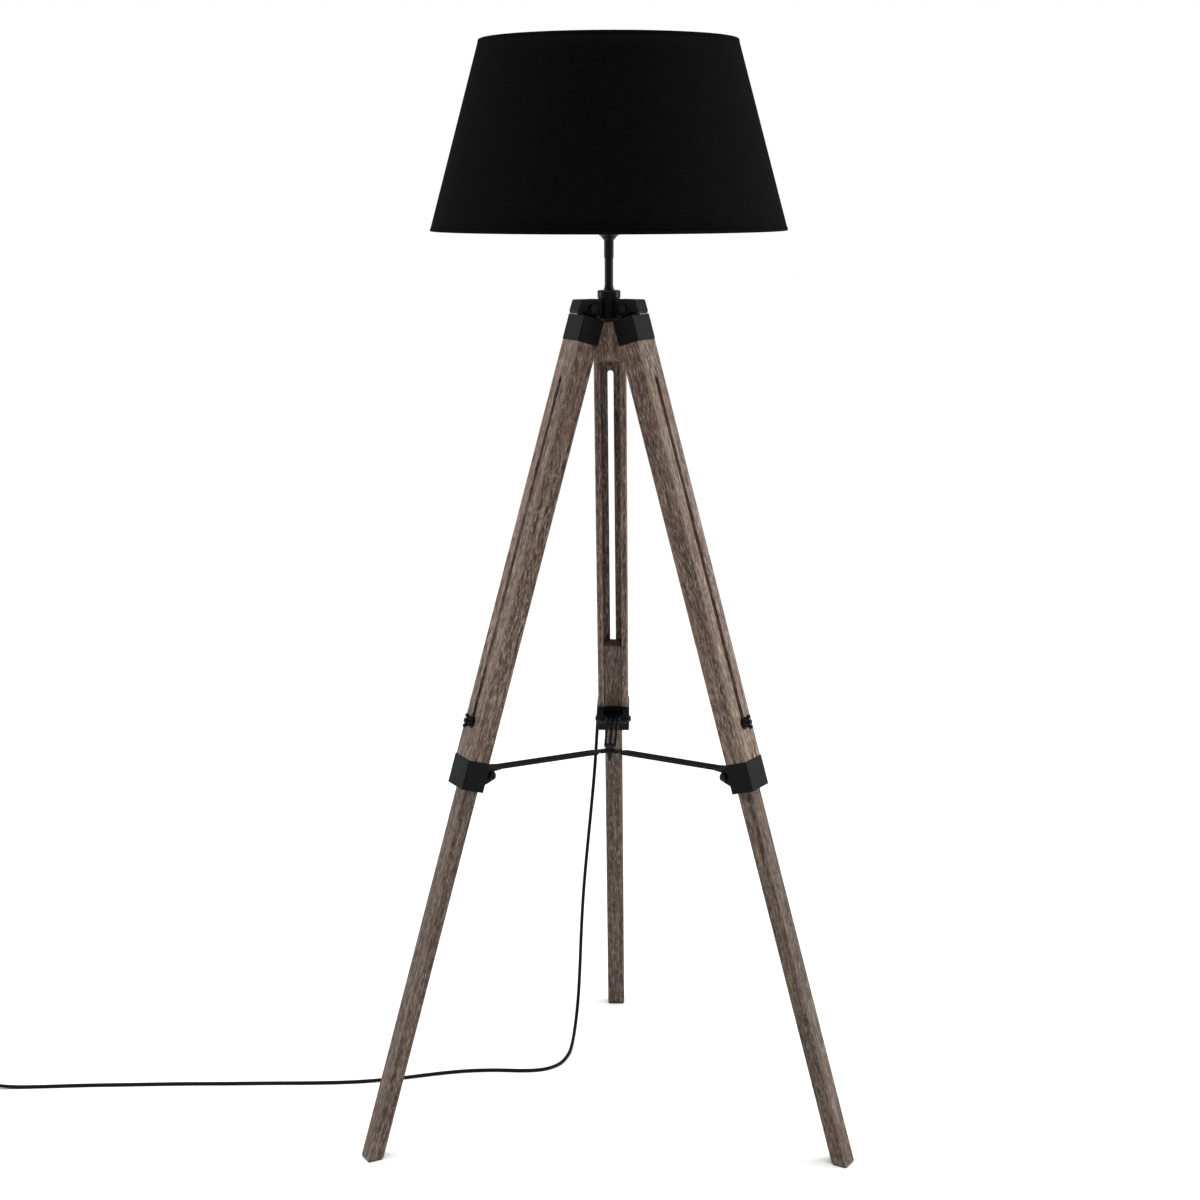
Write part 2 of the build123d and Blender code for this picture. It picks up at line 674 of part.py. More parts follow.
outer = BULB_RADIUS
inner = BULB_RADIUS - GLASS
neck = BULB_CAP_RADIUS - GLASS
floor_top = BULB_CAP_TOP + 2
waist = BULB_CAP_TOP + 11
with BuildPart() as bulb_glass:
    with BuildSketch(Plane.XZ):
        with BuildLine():
            Line((0, BULB_CAP_TOP), (BULB_CAP_RADIUS, BULB_CAP_TOP))
            Spline(
                (BULB_CAP_RADIUS, BULB_CAP_TOP),
                (BULB_CAP_RADIUS + 2.5, waist),
                (outer, BULB_CENTRE),
                tangents=((0, 1), (0, 1)),
            )
            RadiusArc((outer, BULB_CENTRE), (0, BULB_CENTRE + outer), -outer)
            Line((0, BULB_CENTRE + outer), (0, BULB_CENTRE + inner))
            RadiusArc((0, BULB_CENTRE + inner), (inner, BULB_CENTRE), inner)
            Spline(
                (inner, BULB_CENTRE),
                (neck + 2.5, waist + 0.6),
                (neck, floor_top),
                tangents=((0, -1), (0, -1)),
            )
            Line((neck, floor_top), (0, floor_top))
            Line((0, floor_top), (0, BULB_CAP_TOP))
        make_face()
    revolve(axis=Axis.Z)
finish(bulb_glass, "bulb_glass")


# ---- shade -------------------------------------------------------------------------------------
SHADE_SLOPE = (SHADE_BOTTOM_RADIUS - SHADE_TOP_RADIUS) / (LAMP_HEIGHT - SHADE_BOTTOM)


def shade_radius(height):
    """Outer radius of the shade at this height."""
    return SHADE_BOTTOM_RADIUS - SHADE_SLOPE * (height - SHADE_BOTTOM)


def cone_wall(outside, thickness):
    """Conical wall that lies this far inside the shade's outer surface."""
    with BuildPart() as wall:
        with BuildSketch(Plane.XZ):
            with BuildLine():
                Polyline(
                    (SHADE_BOTTOM_RADIUS - outside, SHADE_BOTTOM),
                    (SHADE_TOP_RADIUS - outside, LAMP_HEIGHT),
                    (SHADE_TOP_RADIUS - outside - thickness, LAMP_HEIGHT),
                    (SHADE_BOTTOM_RADIUS - outside - thickness, SHADE_BOTTOM),
                    close=True,
                )
            make_face()
        revolve(axis=Axis.Z)
    return wall


finish(cone_wall(0, FABRIC), "shade_fabric")
finish(cone_wall(FABRIC, LINING), "shade_lining")

ring_gap = FABRIC + LINING + WIRE_RADIUS + 0.3
bottom_ring_height = SHADE_BOTTOM + WIRE_RADIUS + 0.4
bottom_ring_radius = shade_radius(bottom_ring_height) - ring_gap
spoke_start = Vector(RING_RADIUS + 2.2, 0, CARRIER_HEIGHT)
spoke_end = Vector(bottom_ring_radius, 0, bottom_ring_height)

with BuildPart() as shade_carrier:
    with BuildSketch(Plane.XY.offset(CARRIER_HEIGHT - 1)):
        Circle(RING_RADIUS + 3)
        Circle(HOLDER_RADIUS + 0.1, mode=Mode.SUBTRACT)
    extrude(amount=2)
    with BuildSketch(Plane.XZ):
        with Locations((bottom_ring_radius, bottom_ring_height)):
            Circle(WIRE_RADIUS)
    revolve(axis=Axis.Z)
    for azimuth in LEGS.values():
        start = spoke_start.rotate(Axis.Z, azimuth)
        end = spoke_end.rotate(Axis.Z, azimuth)
        with BuildSketch(Plane(origin=start, z_dir=end - start)):
            Circle(1.8)
        extrude(amount=(end - start).length)
finish(shade_carrier, "shade_carrier")

top_ring_height = LAMP_HEIGHT - WIRE_RADIUS - 0.4
with BuildPart() as shade_top_ring:
    with BuildSketch(Plane.XZ):
        with Locations((shade_radius(top_ring_height) - ring_gap, top_ring_height)):
            Circle(WIRE_RADIUS)
    revolve(axis=Axis.Z)
finish(shade_top_ring, "shade_top_ring")


# ---- cord --------------------------------------------------------------------------------------
rear = leg_plane(LEGS["rear"])
gland_axis = Plane(
    origin=on_leg(rear, 0, CORD_STANDOFF, CORD_SIDE), x_dir=rear.x_dir, z_dir=-rear.z_dir
)
with BuildPart() as cord_gland:
    with BuildSketch(gland_axis.offset(-6)):
        Circle(4.6)
    extrude(amount=14)
    with BuildSketch(gland_axis.offset(8)):
        Circle(3.7)
    extrude(amount=GLAND_END - 8, taper=1)
    with BuildSketch(gland_axis.offset(-5)):
        with Locations((-1, CORD_SIDE - CHEEK_OUTER - 1.5)):
            Rectangle(6, 3)
    extrude(amount=11)
finish(cord_gland, "cord_gland")

clip_back = RAIL_DEPTH / 2
clip_mouth = CORD_STANDOFF + 1.5
clip_floor = CORD_STANDOFF - CORD_RADIUS - 0.5
with BuildPart() as cord_clips:
    for distance in CLIPS:
        with BuildSketch(rear.offset(-distance)):
            with Locations(((clip_back + clip_mouth) / 2, CORD_SIDE)):
                Rectangle(clip_mouth - clip_back, 2 * CORD_RADIUS + 3)
            with Locations((clip_floor + CORD_RADIUS + 0.5, CORD_SIDE)):
                Rectangle(2 * CORD_RADIUS + 1, 2 * CORD_RADIUS + 0.8, mode=Mode.SUBTRACT)
        extrude(amount=-CLIP_LENGTH)
finish(cord_clips, "cord_clips")


def bend_radii(points):
    """The radius at each corner of a route: as large as its two runs allow."""
    radii = []
    for before, corner, after in zip(points, points[1:], points[2:]):
        turn = (corner - before).get_angle(after - corner)
        shorter = min((corner - before).length, (after - corner).length)
        radii.append(0.45 * shorter / tan(radians(turn) / 2))
    return radii


def cord_tube(route, name):
    """Sweep the cord's round section along straight runs joined by tangent arcs."""
    points = [Vector(*point) for point in route]
    radii = bend_radii(points)
    print(name, "bend radii", [round(radius) for radius in radii])
    print(name, "runs", [round((b - a).length) for a, b in zip(points, points[1:])])
    with BuildPart() as tube:
        with BuildLine() as path:
            FilletPolyline(*points, radius=radii)
        with BuildSketch(Plane(origin=points[0], z_dir=points[1] - points[0])):
            Circle(CORD_RADIUS)
        sweep()
    length = sum(edge.length for edge in path.edges())
    ratio = tube.part.volume / (pi * CORD_RADIUS**2 * length)
    print(name, "length", round(length, 1), "volume ratio", round(ratio, 4))
    finish(tube, name)


on_floor = CORD_RADIUS
cord_start = on_leg(rear, GLAND_END, CORD_STANDOFF, CORD_SIDE)
cord_leaves_leg = on_leg(rear, CORD_LEAVES_LEG, CORD_STANDOFF, CORD_SIDE)
print("cord start", cord_start, "leaves leg", cord_leaves_leg)
route = [
    tuple(cord_start),
    tuple(cord_leaves_leg),
    (-22.5, 235, 519),
    (-25.5, 241.5, 470),
    (-29, 243.5, 414),
    (-34.5, 243, 354),
    (-40.5, 241, 293),
    (-46, 237.5, 232),
    (-49.5, 232, 172),
    (-51.5, 225, 114),
    (-54, 214.5, 64),
    (-58, 199, 26),
    (-62.5, 176, on_floor),
    (-67, 145, on_floor),
    (-76.5, 116, on_floor),
    (-98, 96.5, on_floor),
    (-129, 91.5, on_floor),
    (-170, 94, on_floor),
    (-216, 89.5, on_floor),
    (-263, 76.5, on_floor),
    (-312, 60, on_floor),
    (-365, 48, on_floor),
    (-424, 43, on_floor),
    (-489, 41, on_floor),
    (-556, 37.5, on_floor),
    (-622, 35.5, on_floor),
    (-688, 31, on_floor),
    (-752, 27.5, on_floor),
    (-812, 21.5, on_floor),
    (-858, 18, on_floor),
    (-894, SWITCH_SIDE, CORD_IN_SWITCH),
    (-1008, SWITCH_SIDE, CORD_IN_SWITCH),
    (-1040, COIL_CENTRE[1] + COIL_RADIUS + 1, on_floor + 1),
]
cord_tube(route, "mains_cord")

coil_foot = (COIL_CENTRE[0], COIL_CENTRE[1], 0)
with BuildPart() as mains_cord_coil:
    with BuildSketch(Plane(origin=coil_foot, x_dir=(1, 0, 0), z_dir=(0, -1, 0))):
        with Locations((COIL_RADIUS, COIL_HEIGHT / 2)):
            RectangleRounded(4 * CORD_RADIUS + 0.5, COIL_HEIGHT, CORD_RADIUS)
    revolve(axis=Axis(coil_foot, (0, 0, 1)))
finish(mains_cord_coil, "mains_cord_coil")

tail = [
    (COIL_CENTRE[0] - 4, COIL_CENTRE[1] - COIL_RADIUS + 0.5, 8),
    (COIL_CENTRE[0] + 14, PLUG_SIDE + 1, 8.2),
    (PLUG_BACK - 16, PLUG_SIDE, CORD_IN_PLUG),
    (PLUG_BACK, PLUG_SIDE, CORD_IN_PLUG),
]
cord_tube(tail, "cord_tail")

# foot switch, in two half shells with a rocker
switch_base = Plane(origin=(SWITCH_CENTRE, SWITCH_SIDE, 0), x_dir=(1, 0, 0), z_dir=(0, 0, 1))
with BuildPart() as cord_switch_base:
    with BuildSketch(switch_base):
        RectangleRounded(SWITCH_LENGTH, SWITCH_WIDTH, SWITCH_CORNER)
    extrude(amount=CORD_IN_SWITCH)
    chamfer(cord_switch_base.faces().sort_by(Axis.Z).first.edges(), length=1)
    with BuildSketch(Plane.YZ.offset(SWITCH_CENTRE)):
        with Locations((SWITCH_SIDE, CORD_IN_SWITCH)):
            Circle(CORD_RADIUS)
    extrude(amount=SWITCH_LENGTH, both=True, mode=Mode.SUBTRACT)
finish(cord_switch_base, "cord_switch_base")

with BuildPart() as cord_switch_cover:
    with BuildSketch(switch_base.offset(CORD_IN_SWITCH)):
        RectangleRounded(SWITCH_LENGTH, SWITCH_WIDTH, SWITCH_CORNER)
    extrude(amount=SWITCH_HEIGHT - CORD_IN_SWITCH)
    fillet(cord_switch_cover.faces().sort_by(Axis.Z).last.edges(), radius=4)
    with BuildSketch(switch_base.offset(CORD_IN_SWITCH + CORD_RADIUS + 1)):
        Rectangle(ROCKER_LENGTH + 2.4, ROCKER_WIDTH + 0.8)
    extrude(amount=SWITCH_HEIGHT, mode=Mode.SUBTRACT)
    with BuildSketch(Plane.XZ.offset(-SWITCH_SIDE)):
        with Locations((SWITCH_CENTRE, ROCKER_PIVOT)):
            Circle(TRUNNION_RADIUS + RUNNING)
    extrude(amount=ROCKER_WIDTH / 2 + 1.2, both=True, mode=Mode.SUBTRACT)
    with BuildSketch(Plane.YZ.offset(SWITCH_CENTRE)):
        with Locations((SWITCH_SIDE, CORD_IN_SWITCH)):
            Circle(CORD_RADIUS)
    extrude(amount=SWITCH_LENGTH, both=True, mode=Mode.SUBTRACT)
finish(cord_switch_cover, "cord_switch_cover")

with BuildPart() as cord_switch_rocker:
    with BuildSketch(Plane.XZ.offset(-SWITCH_SIDE - ROCKER_WIDTH / 2)):
        with BuildLine():
            Polyline(
                (SWITCH_CENTRE - ROCKER_LENGTH / 2, ROCKER_PIVOT + 1),
                (SWITCH_CENTRE - ROCKER_LENGTH / 2 + 0.6, SWITCH_HEIGHT + 2.3),
                (SWITCH_CENTRE, SWITCH_HEIGHT + 0.8),
                (SWITCH_CENTRE + ROCKER_LENGTH / 2 - 0.6, SWITCH_HEIGHT),
                (SWITCH_CENTRE + ROCKER_LENGTH / 2, ROCKER_PIVOT + 1),
                (SWITCH_CENTRE + 3, ROCKER_PIVOT - 1.9),
                (SWITCH_CENTRE - 3, ROCKER_PIVOT - 1.9),
                close=True,
            )
        make_face()
    extrude(amount=ROCKER_WIDTH)
    with BuildSketch(Plane.XZ.offset(-SWITCH_SIDE)):
        with Locations((SWITCH_CENTRE, ROCKER_PIVOT)):
            Circle(TRUNNION_RADIUS)
    extrude(amount=ROCKER_WIDTH / 2 + 1, both=True)
finish(cord_switch_rocker, "cord_switch_rocker")

# flat two-pin plug
plug_axis = Plane(origin=(PLUG_BACK, PLUG_SIDE, CORD_IN_PLUG), x_dir=(0, 1, 0), z_dir=(1, 0, 0))
plug_shoulder = plug_axis.offset(PLUG_BOOT)
plug_waist = plug_axis.offset(PLUG_BOOT + 20)
plug_face = plug_axis.offset(PLUG_BOOT + PLUG_LENGTH)
with BuildPart() as plug_body:
    with BuildSketch(plug_axis):
        Circle(CORD_RADIUS + 1.1)
    with BuildSketch(plug_shoulder):
        RectangleRounded(13, 9.5, 3)
    loft()
    with BuildSketch(plug_shoulder):
        RectangleRounded(26, PLUG_THICKNESS, 4)
    with BuildSketch(plug_waist):
        RectangleRounded(PLUG_WIDTH, PLUG_THICKNESS, 4)
    loft()
    with BuildSketch(plug_waist):
        RectangleRounded(PLUG_WIDTH, PLUG_THICKNESS, 4)
    extrude(amount=PLUG_LENGTH - 20)
finish(plug_body, "plug_body")

with BuildPart() as plug_pins:
    with BuildSketch(plug_face):
        with GridLocations(PIN_SPACING, 0, 2, 1):
            Circle(2)
    extrude(amount=19)
    fillet(plug_pins.faces().sort_by(Axis.X)[-2:].edges(), radius=1.4)
finish(plug_pins, "plug_pins")

print("pieces", len(made), "arm pin radius", round(pin_radius_from_axis(), 2), "strip", round(strip_bottom, 2))
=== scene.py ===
# %% [markdown]
# # A tripod floor lamp
# The lamp has three wooden legs that fold and telescope, moulded black fittings, a steel stem and a
# black cloth shade. The engineering model brings in every rigid piece at its true size and place. This
# lesson gives those pieces their finishes, and makes again the pieces that need more care than a plain
# solid: the cord, its strain relief and plug, the wing nuts, the bulb, and the cloth, lining and hems
# of the shade.

import json
from math import atan2, cos, degrees, hypot, pi, radians, sin

import bmesh
import bpy
from mathutils import Matrix, Vector


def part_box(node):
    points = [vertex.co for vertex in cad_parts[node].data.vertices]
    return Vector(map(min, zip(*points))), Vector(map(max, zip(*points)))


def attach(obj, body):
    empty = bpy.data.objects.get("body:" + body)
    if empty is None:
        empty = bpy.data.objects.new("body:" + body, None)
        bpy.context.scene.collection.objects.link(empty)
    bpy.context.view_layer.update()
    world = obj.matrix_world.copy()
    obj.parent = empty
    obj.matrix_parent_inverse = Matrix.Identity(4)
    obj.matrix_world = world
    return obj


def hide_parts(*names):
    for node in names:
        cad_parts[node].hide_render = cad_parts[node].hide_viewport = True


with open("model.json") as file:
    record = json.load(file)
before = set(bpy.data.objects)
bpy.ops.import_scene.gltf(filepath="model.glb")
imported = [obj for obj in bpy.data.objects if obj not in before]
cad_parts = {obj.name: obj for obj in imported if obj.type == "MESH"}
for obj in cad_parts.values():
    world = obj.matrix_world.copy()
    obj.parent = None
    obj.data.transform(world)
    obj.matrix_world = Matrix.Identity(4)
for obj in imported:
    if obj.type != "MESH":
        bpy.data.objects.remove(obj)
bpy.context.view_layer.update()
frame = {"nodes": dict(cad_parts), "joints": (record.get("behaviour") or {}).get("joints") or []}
joints = {joint["name"]: joint for joint in frame["joints"]}
nodes = frame["nodes"]
LEGS = {"rear": 90, "left": 210, "right": 330}

# %% [markdown]
# ## The camera
# The camera stands a little above the lamp's head and looks down by 11 degrees, because that is what
# keeps the shade's rim nearly level and spreads the feet apart in depth. A long lens from 2.7 m keeps
# the lamp's upright lines nearly upright. The camera is made first, since everything is judged by it.

# %% The camera
CAMERA_PLACE = (0.0717, -2.6880, 1.2673)
CAMERA_HEADING = 1.80  # degrees, counter-clockwise from +Y
CAMERA_PITCH = 11.46  # degrees below the horizon
CAMERA_ROLL = -0.16
camera_data = bpy.data.cameras.new("camera")
camera_data.sensor_width = 36
camera_data.lens = 61.29
camera = bpy.data.objects.new("camera", camera_data)
bpy.context.scene.collection.objects.link(camera)
camera.matrix_world = (
    Matrix.Translation(CAMERA_PLACE)
    @ Matrix.Rotation(radians(CAMERA_HEADING), 4, "Z")
    @ Matrix.Rotation(radians(90 - CAMERA_PITCH), 4, "X")
    @ Matrix.Rotation(radians(CAMERA_ROLL), 4, "Z")
)
bpy.context.scene.camera = camera
print("camera at", tuple(round(x, 3) for x in camera.location))

# %% [markdown]
# ## The cord's line
# A lamp's lead is a fixed length of round flexible cable. It leaves the head, lies in clips down the
# back of the rear leg, hangs to the floor, wanders away in loose curves, passes the foot switch, and the
# rest is put away in a small coil that ends in the plug. It could be a swept mesh, but a curve object is
# easier: a NURBS spline stays smooth whatever its control points are, and its bevel gives the round
# section. The points are listed one by one, as one lays a real cord.

# %% The cord's control points
CORD = 0.005  # the cord's diameter
ON_FLOOR = CORD / 2
IN_SWITCH = 0.007  # height of the cord through the foot switch
SWITCH_SIDE = 0.0165
route = [
    (-0.0175, 0.0567, 1.09095),
    (-0.0175, 0.2037, 0.6026),
    (-0.0175, 0.2167, 0.5595),
    (-0.0225, 0.2350, 0.519),
    (-0.0255, 0.2415, 0.470),
    (-0.0290, 0.2435, 0.414),
    (-0.0345, 0.2430, 0.354),
    (-0.0405, 0.2410, 0.293),
    (-0.0460, 0.2375, 0.232),
    (-0.0495, 0.2320, 0.172),
    (-0.0515, 0.2250, 0.114),
    (-0.0540, 0.2145, 0.064),
    (-0.0580, 0.1990, 0.026),
    (-0.0625, 0.1760, ON_FLOOR),
    (-0.0670, 0.1450, ON_FLOOR),
    (-0.0765, 0.1160, ON_FLOOR),
    (-0.0980, 0.0965, ON_FLOOR),
    (-0.1290, 0.0915, ON_FLOOR),
    (-0.1700, 0.0940, ON_FLOOR),
    (-0.2160, 0.0895, ON_FLOOR),
    (-0.2630, 0.0765, ON_FLOOR),
    (-0.3120, 0.0600, ON_FLOOR),
    (-0.3650, 0.0480, ON_FLOOR),
    (-0.4240, 0.0430, ON_FLOOR),
    (-0.4890, 0.0410, ON_FLOOR),
    (-0.5560, 0.0375, ON_FLOOR),
    (-0.6220, 0.0355, ON_FLOOR),
    (-0.6880, 0.0310, ON_FLOOR),
    (-0.7520, 0.0275, ON_FLOOR),
    (-0.8120, 0.0215, ON_FLOOR),
    (-0.8580, 0.0180, ON_FLOOR),
    (-0.8940, SWITCH_SIDE, IN_SWITCH),
    (-1.0080, SWITCH_SIDE, IN_SWITCH),
    (-1.0400, 0.0160, 0.0035),
]
tail = [
    (-1.0540, -0.0395, 0.0080),
    (-1.0360, -0.0420, 0.0082),
    (-1.0200, -0.0430, 0.00685),
    (-1.0040, -0.0430, 0.00685),
]
print("hand-placed points", len(route) + len(tail))

# %% [markdown]
# ## The put-away coil
# The turns lie side by side a diameter apart: the first outside, the second inside it, and the third on
# top, in the groove between them. A loop works the turns out. A spline runs a little inside its control
# points, so their radius is enlarged by that share.

# %% The coil's turns
COIL_CENTRE = Vector((-1.050, -0.0125, 0))
COIL_START = 85  # degrees
STEP = 20  # degrees between control points
COIL_STAGES = [  # turned so far in degrees, radius, height
    (0, 0.0300, ON_FLOOR),
    (290, 0.0300, ON_FLOOR),
    (350, 0.0250, ON_FLOOR),
    (560, 0.0250, ON_FLOOR),
    (620, 0.0262, 0.0072),
    (650, 0.0275, 0.0075),
    (880, 0.0275, 0.0078),
]


def coil_stage(turned):
    """Radius and height of the coil after this many degrees."""
    for (before, r0, z0), (after, r1, z1) in zip(COIL_STAGES, COIL_STAGES[1:]):
        if turned <= after:
            share = (turned - before) / (after - before)
            return r0 + share * (r1 - r0), z0 + share * (z1 - z0)


coil = []
inside = (3 + cos(radians(STEP))) / 4  # a quadratic spline's share of its control radius
for turned in range(0, COIL_STAGES[-1][0], STEP):
    radius, height = coil_stage(turned)
    angle = radians(COIL_START + turned)
    offset = Vector((cos(angle), sin(angle), 0)) * radius / inside
    coil.append(tuple(COIL_CENTRE + offset + Vector((0, 0, height))))
print("coil points", len(coil), "turns", round(COIL_STAGES[-1][0] / 360, 1))


# %% The cord as one curve
def smooth_cord(name, points, diameter):
    """One round cord along a NURBS spline."""
    curve = bpy.data.curves.new(name, "CURVE")
    curve.dimensions = "3D"
    curve.bevel_depth = 1
    curve.bevel_resolution = 5
    curve.use_fill_caps = True
    spline = curve.splines.new("NURBS")
    spline.points.add(len(points) - 1)
    for control, point in zip(spline.points, points):
        control.co = (*point, 1)
        control.radius = diameter / 2
    spline.order_u = 3
    spline.use_endpoint_u = True
    spline.resolution_u = 8
    piece = bpy.data.objects.new(name, curve)
    bpy.context.scene.collection.objects.link(piece)
    return piece


def centreline(piece):
    """Points along a cord's own line, read from a copy of the curve with no bevel."""
    bare = piece.data.copy()
    bare.bevel_depth = 0
    holder = bpy.data.objects.new("bare_line", bare)
    mesh = bpy.data.meshes.new_from_object(holder)
    points = [vertex.co.copy() for vertex in mesh.vertices]
    bpy.data.objects.remove(holder)
    bpy.data.meshes.remove(mesh)
    bpy.data.curves.remove(bare)
    return points


mains_flex = smooth_cord("mains_flex", route + coil + tail, CORD)
line = centreline(mains_flex)
flex_length = sum((b - a).length for a, b in zip(line, line[1:]))
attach(mains_flex, "head")
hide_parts("mains_cord", "mains_cord_coil", "cord_tail")
print("cord length", round(flex_length, 3), "m")

# %% [markdown]
# ## Finishes: the helpers
# Every finish is a small network of nodes. One function turns the usual sRGB hex colour into Blender's
# linear colour, one starts a material, and one adds a node with its settings and links, so that each
# finish below reads as a short recipe.


# %% Helpers for materials
def linear(colour):
    """Linear colour with alpha from sRGB hex."""
    channels = [int(colour[i:i + 2], 16) / 255 for i in (0, 2, 4)]
    return tuple(c / 12.92 if c <= 0.04045 else ((c + 0.055) / 1.055) ** 2.4 for c in channels) + (1,)


def start_material(name, **surface):
    """A new material; the values go straight to the shader's sockets."""
    material = bpy.data.materials.new(name)
    material.use_nodes = True
    shader = material.node_tree.nodes["Principled BSDF"]
    for socket, value in surface.items():
        shader.inputs[socket.replace("_", " ")].default_value = value
    return material


def add(material, kind, settings=None, **inputs):
    """Add a node; an input is a value, or a (node, output) pair to link."""
    tree = material.node_tree
    node = tree.nodes.new("ShaderNode" + kind)
    for name, value in (settings or {}).items():
        setattr(node, name, value)
    for name, value in inputs.items():
        socket = node.inputs[int(name[1:])] if name[0] == "i" and name[1:].isdigit() else node.inputs[name]
        if isinstance(value, tuple) and isinstance(value[0], bpy.types.Node):
            tree.links.new(value[0].outputs[value[1]], socket)
        else:
            socket.default_value = value
    return node


def drive(material, **inputs):
    """Link nodes to the material's shader."""
    shader = material.node_tree.nodes["Principled BSDF"]
    for socket, (node, output) in inputs.items():
        material.node_tree.links.new(node.outputs[output], shader.inputs[socket.replace("_", " ")])


def colours(material, factor, *stops):
    """Colour ramp from (place, hex) stops."""
    ramp = add(material, "ValToRGB", Fac=factor)
    while len(ramp.color_ramp.elements) < len(stops):
        ramp.color_ramp.elements.new(0.5)
    for element, (place, colour) in zip(ramp.color_ramp.elements, stops):
        element.position = place
        element.color = linear(colour)
    return ramp


def levels(material, factor, low, high, to_low=0.0, to_high=1.0):
    """Stretch a value from one range to another, held at the ends."""
    settings = {"clamp": True, "interpolation_type": "SMOOTHSTEP"}
    return add(
        material, "MapRange", settings, Value=factor,
        **{"From Min": low, "From Max": high, "To Min": to_low, "To Max": to_high},
    )


def finish_with(material, *names):
    """Give CAD nodes this finish."""
    for name in names:
        data = nodes[name].data
        data.materials.clear()
        data.materials.append(material)
    print(material.name, "on", ", ".join(names))


MM = 0.001  # the model is in metres, and patterns are sized in millimetres

# %% [markdown]
# ## Stained wood
# The legs are an open-grained hardwood, wire-brushed along the grain, stained dark and rubbed with a
# grey wash that stays in the pores. What the eye gets is fine streaks along each leg, a reddish brown
# under the grey, and small pale flecks where the wash caught. The paler corners are a painted highlight
# along the edges, where light catches them. A texture on the plain object coordinates would run straight
# up, so a Mapping node turns the pattern onto each leg: its z runs along the grain. The streaks are noise
# drawn out along the grain.


# %% Stained wood
def leg_axes(name):
    """Matrix from a leg's own axes to the model: x outward, y across, z up along the leg."""
    up = Vector(joints[f"leg_slide_{name}"]["axis"]).normalized()
    across = Vector(joints[f"leg_fold_{name}"]["axis"]).normalized()
    outward = across.cross(up)
    place = Vector(joints[f"leg_fold_{name}"]["pos_m"])
    turned = Matrix((outward, across, up)).transposed().to_4x4()
    return Matrix.Translation(place) @ turned


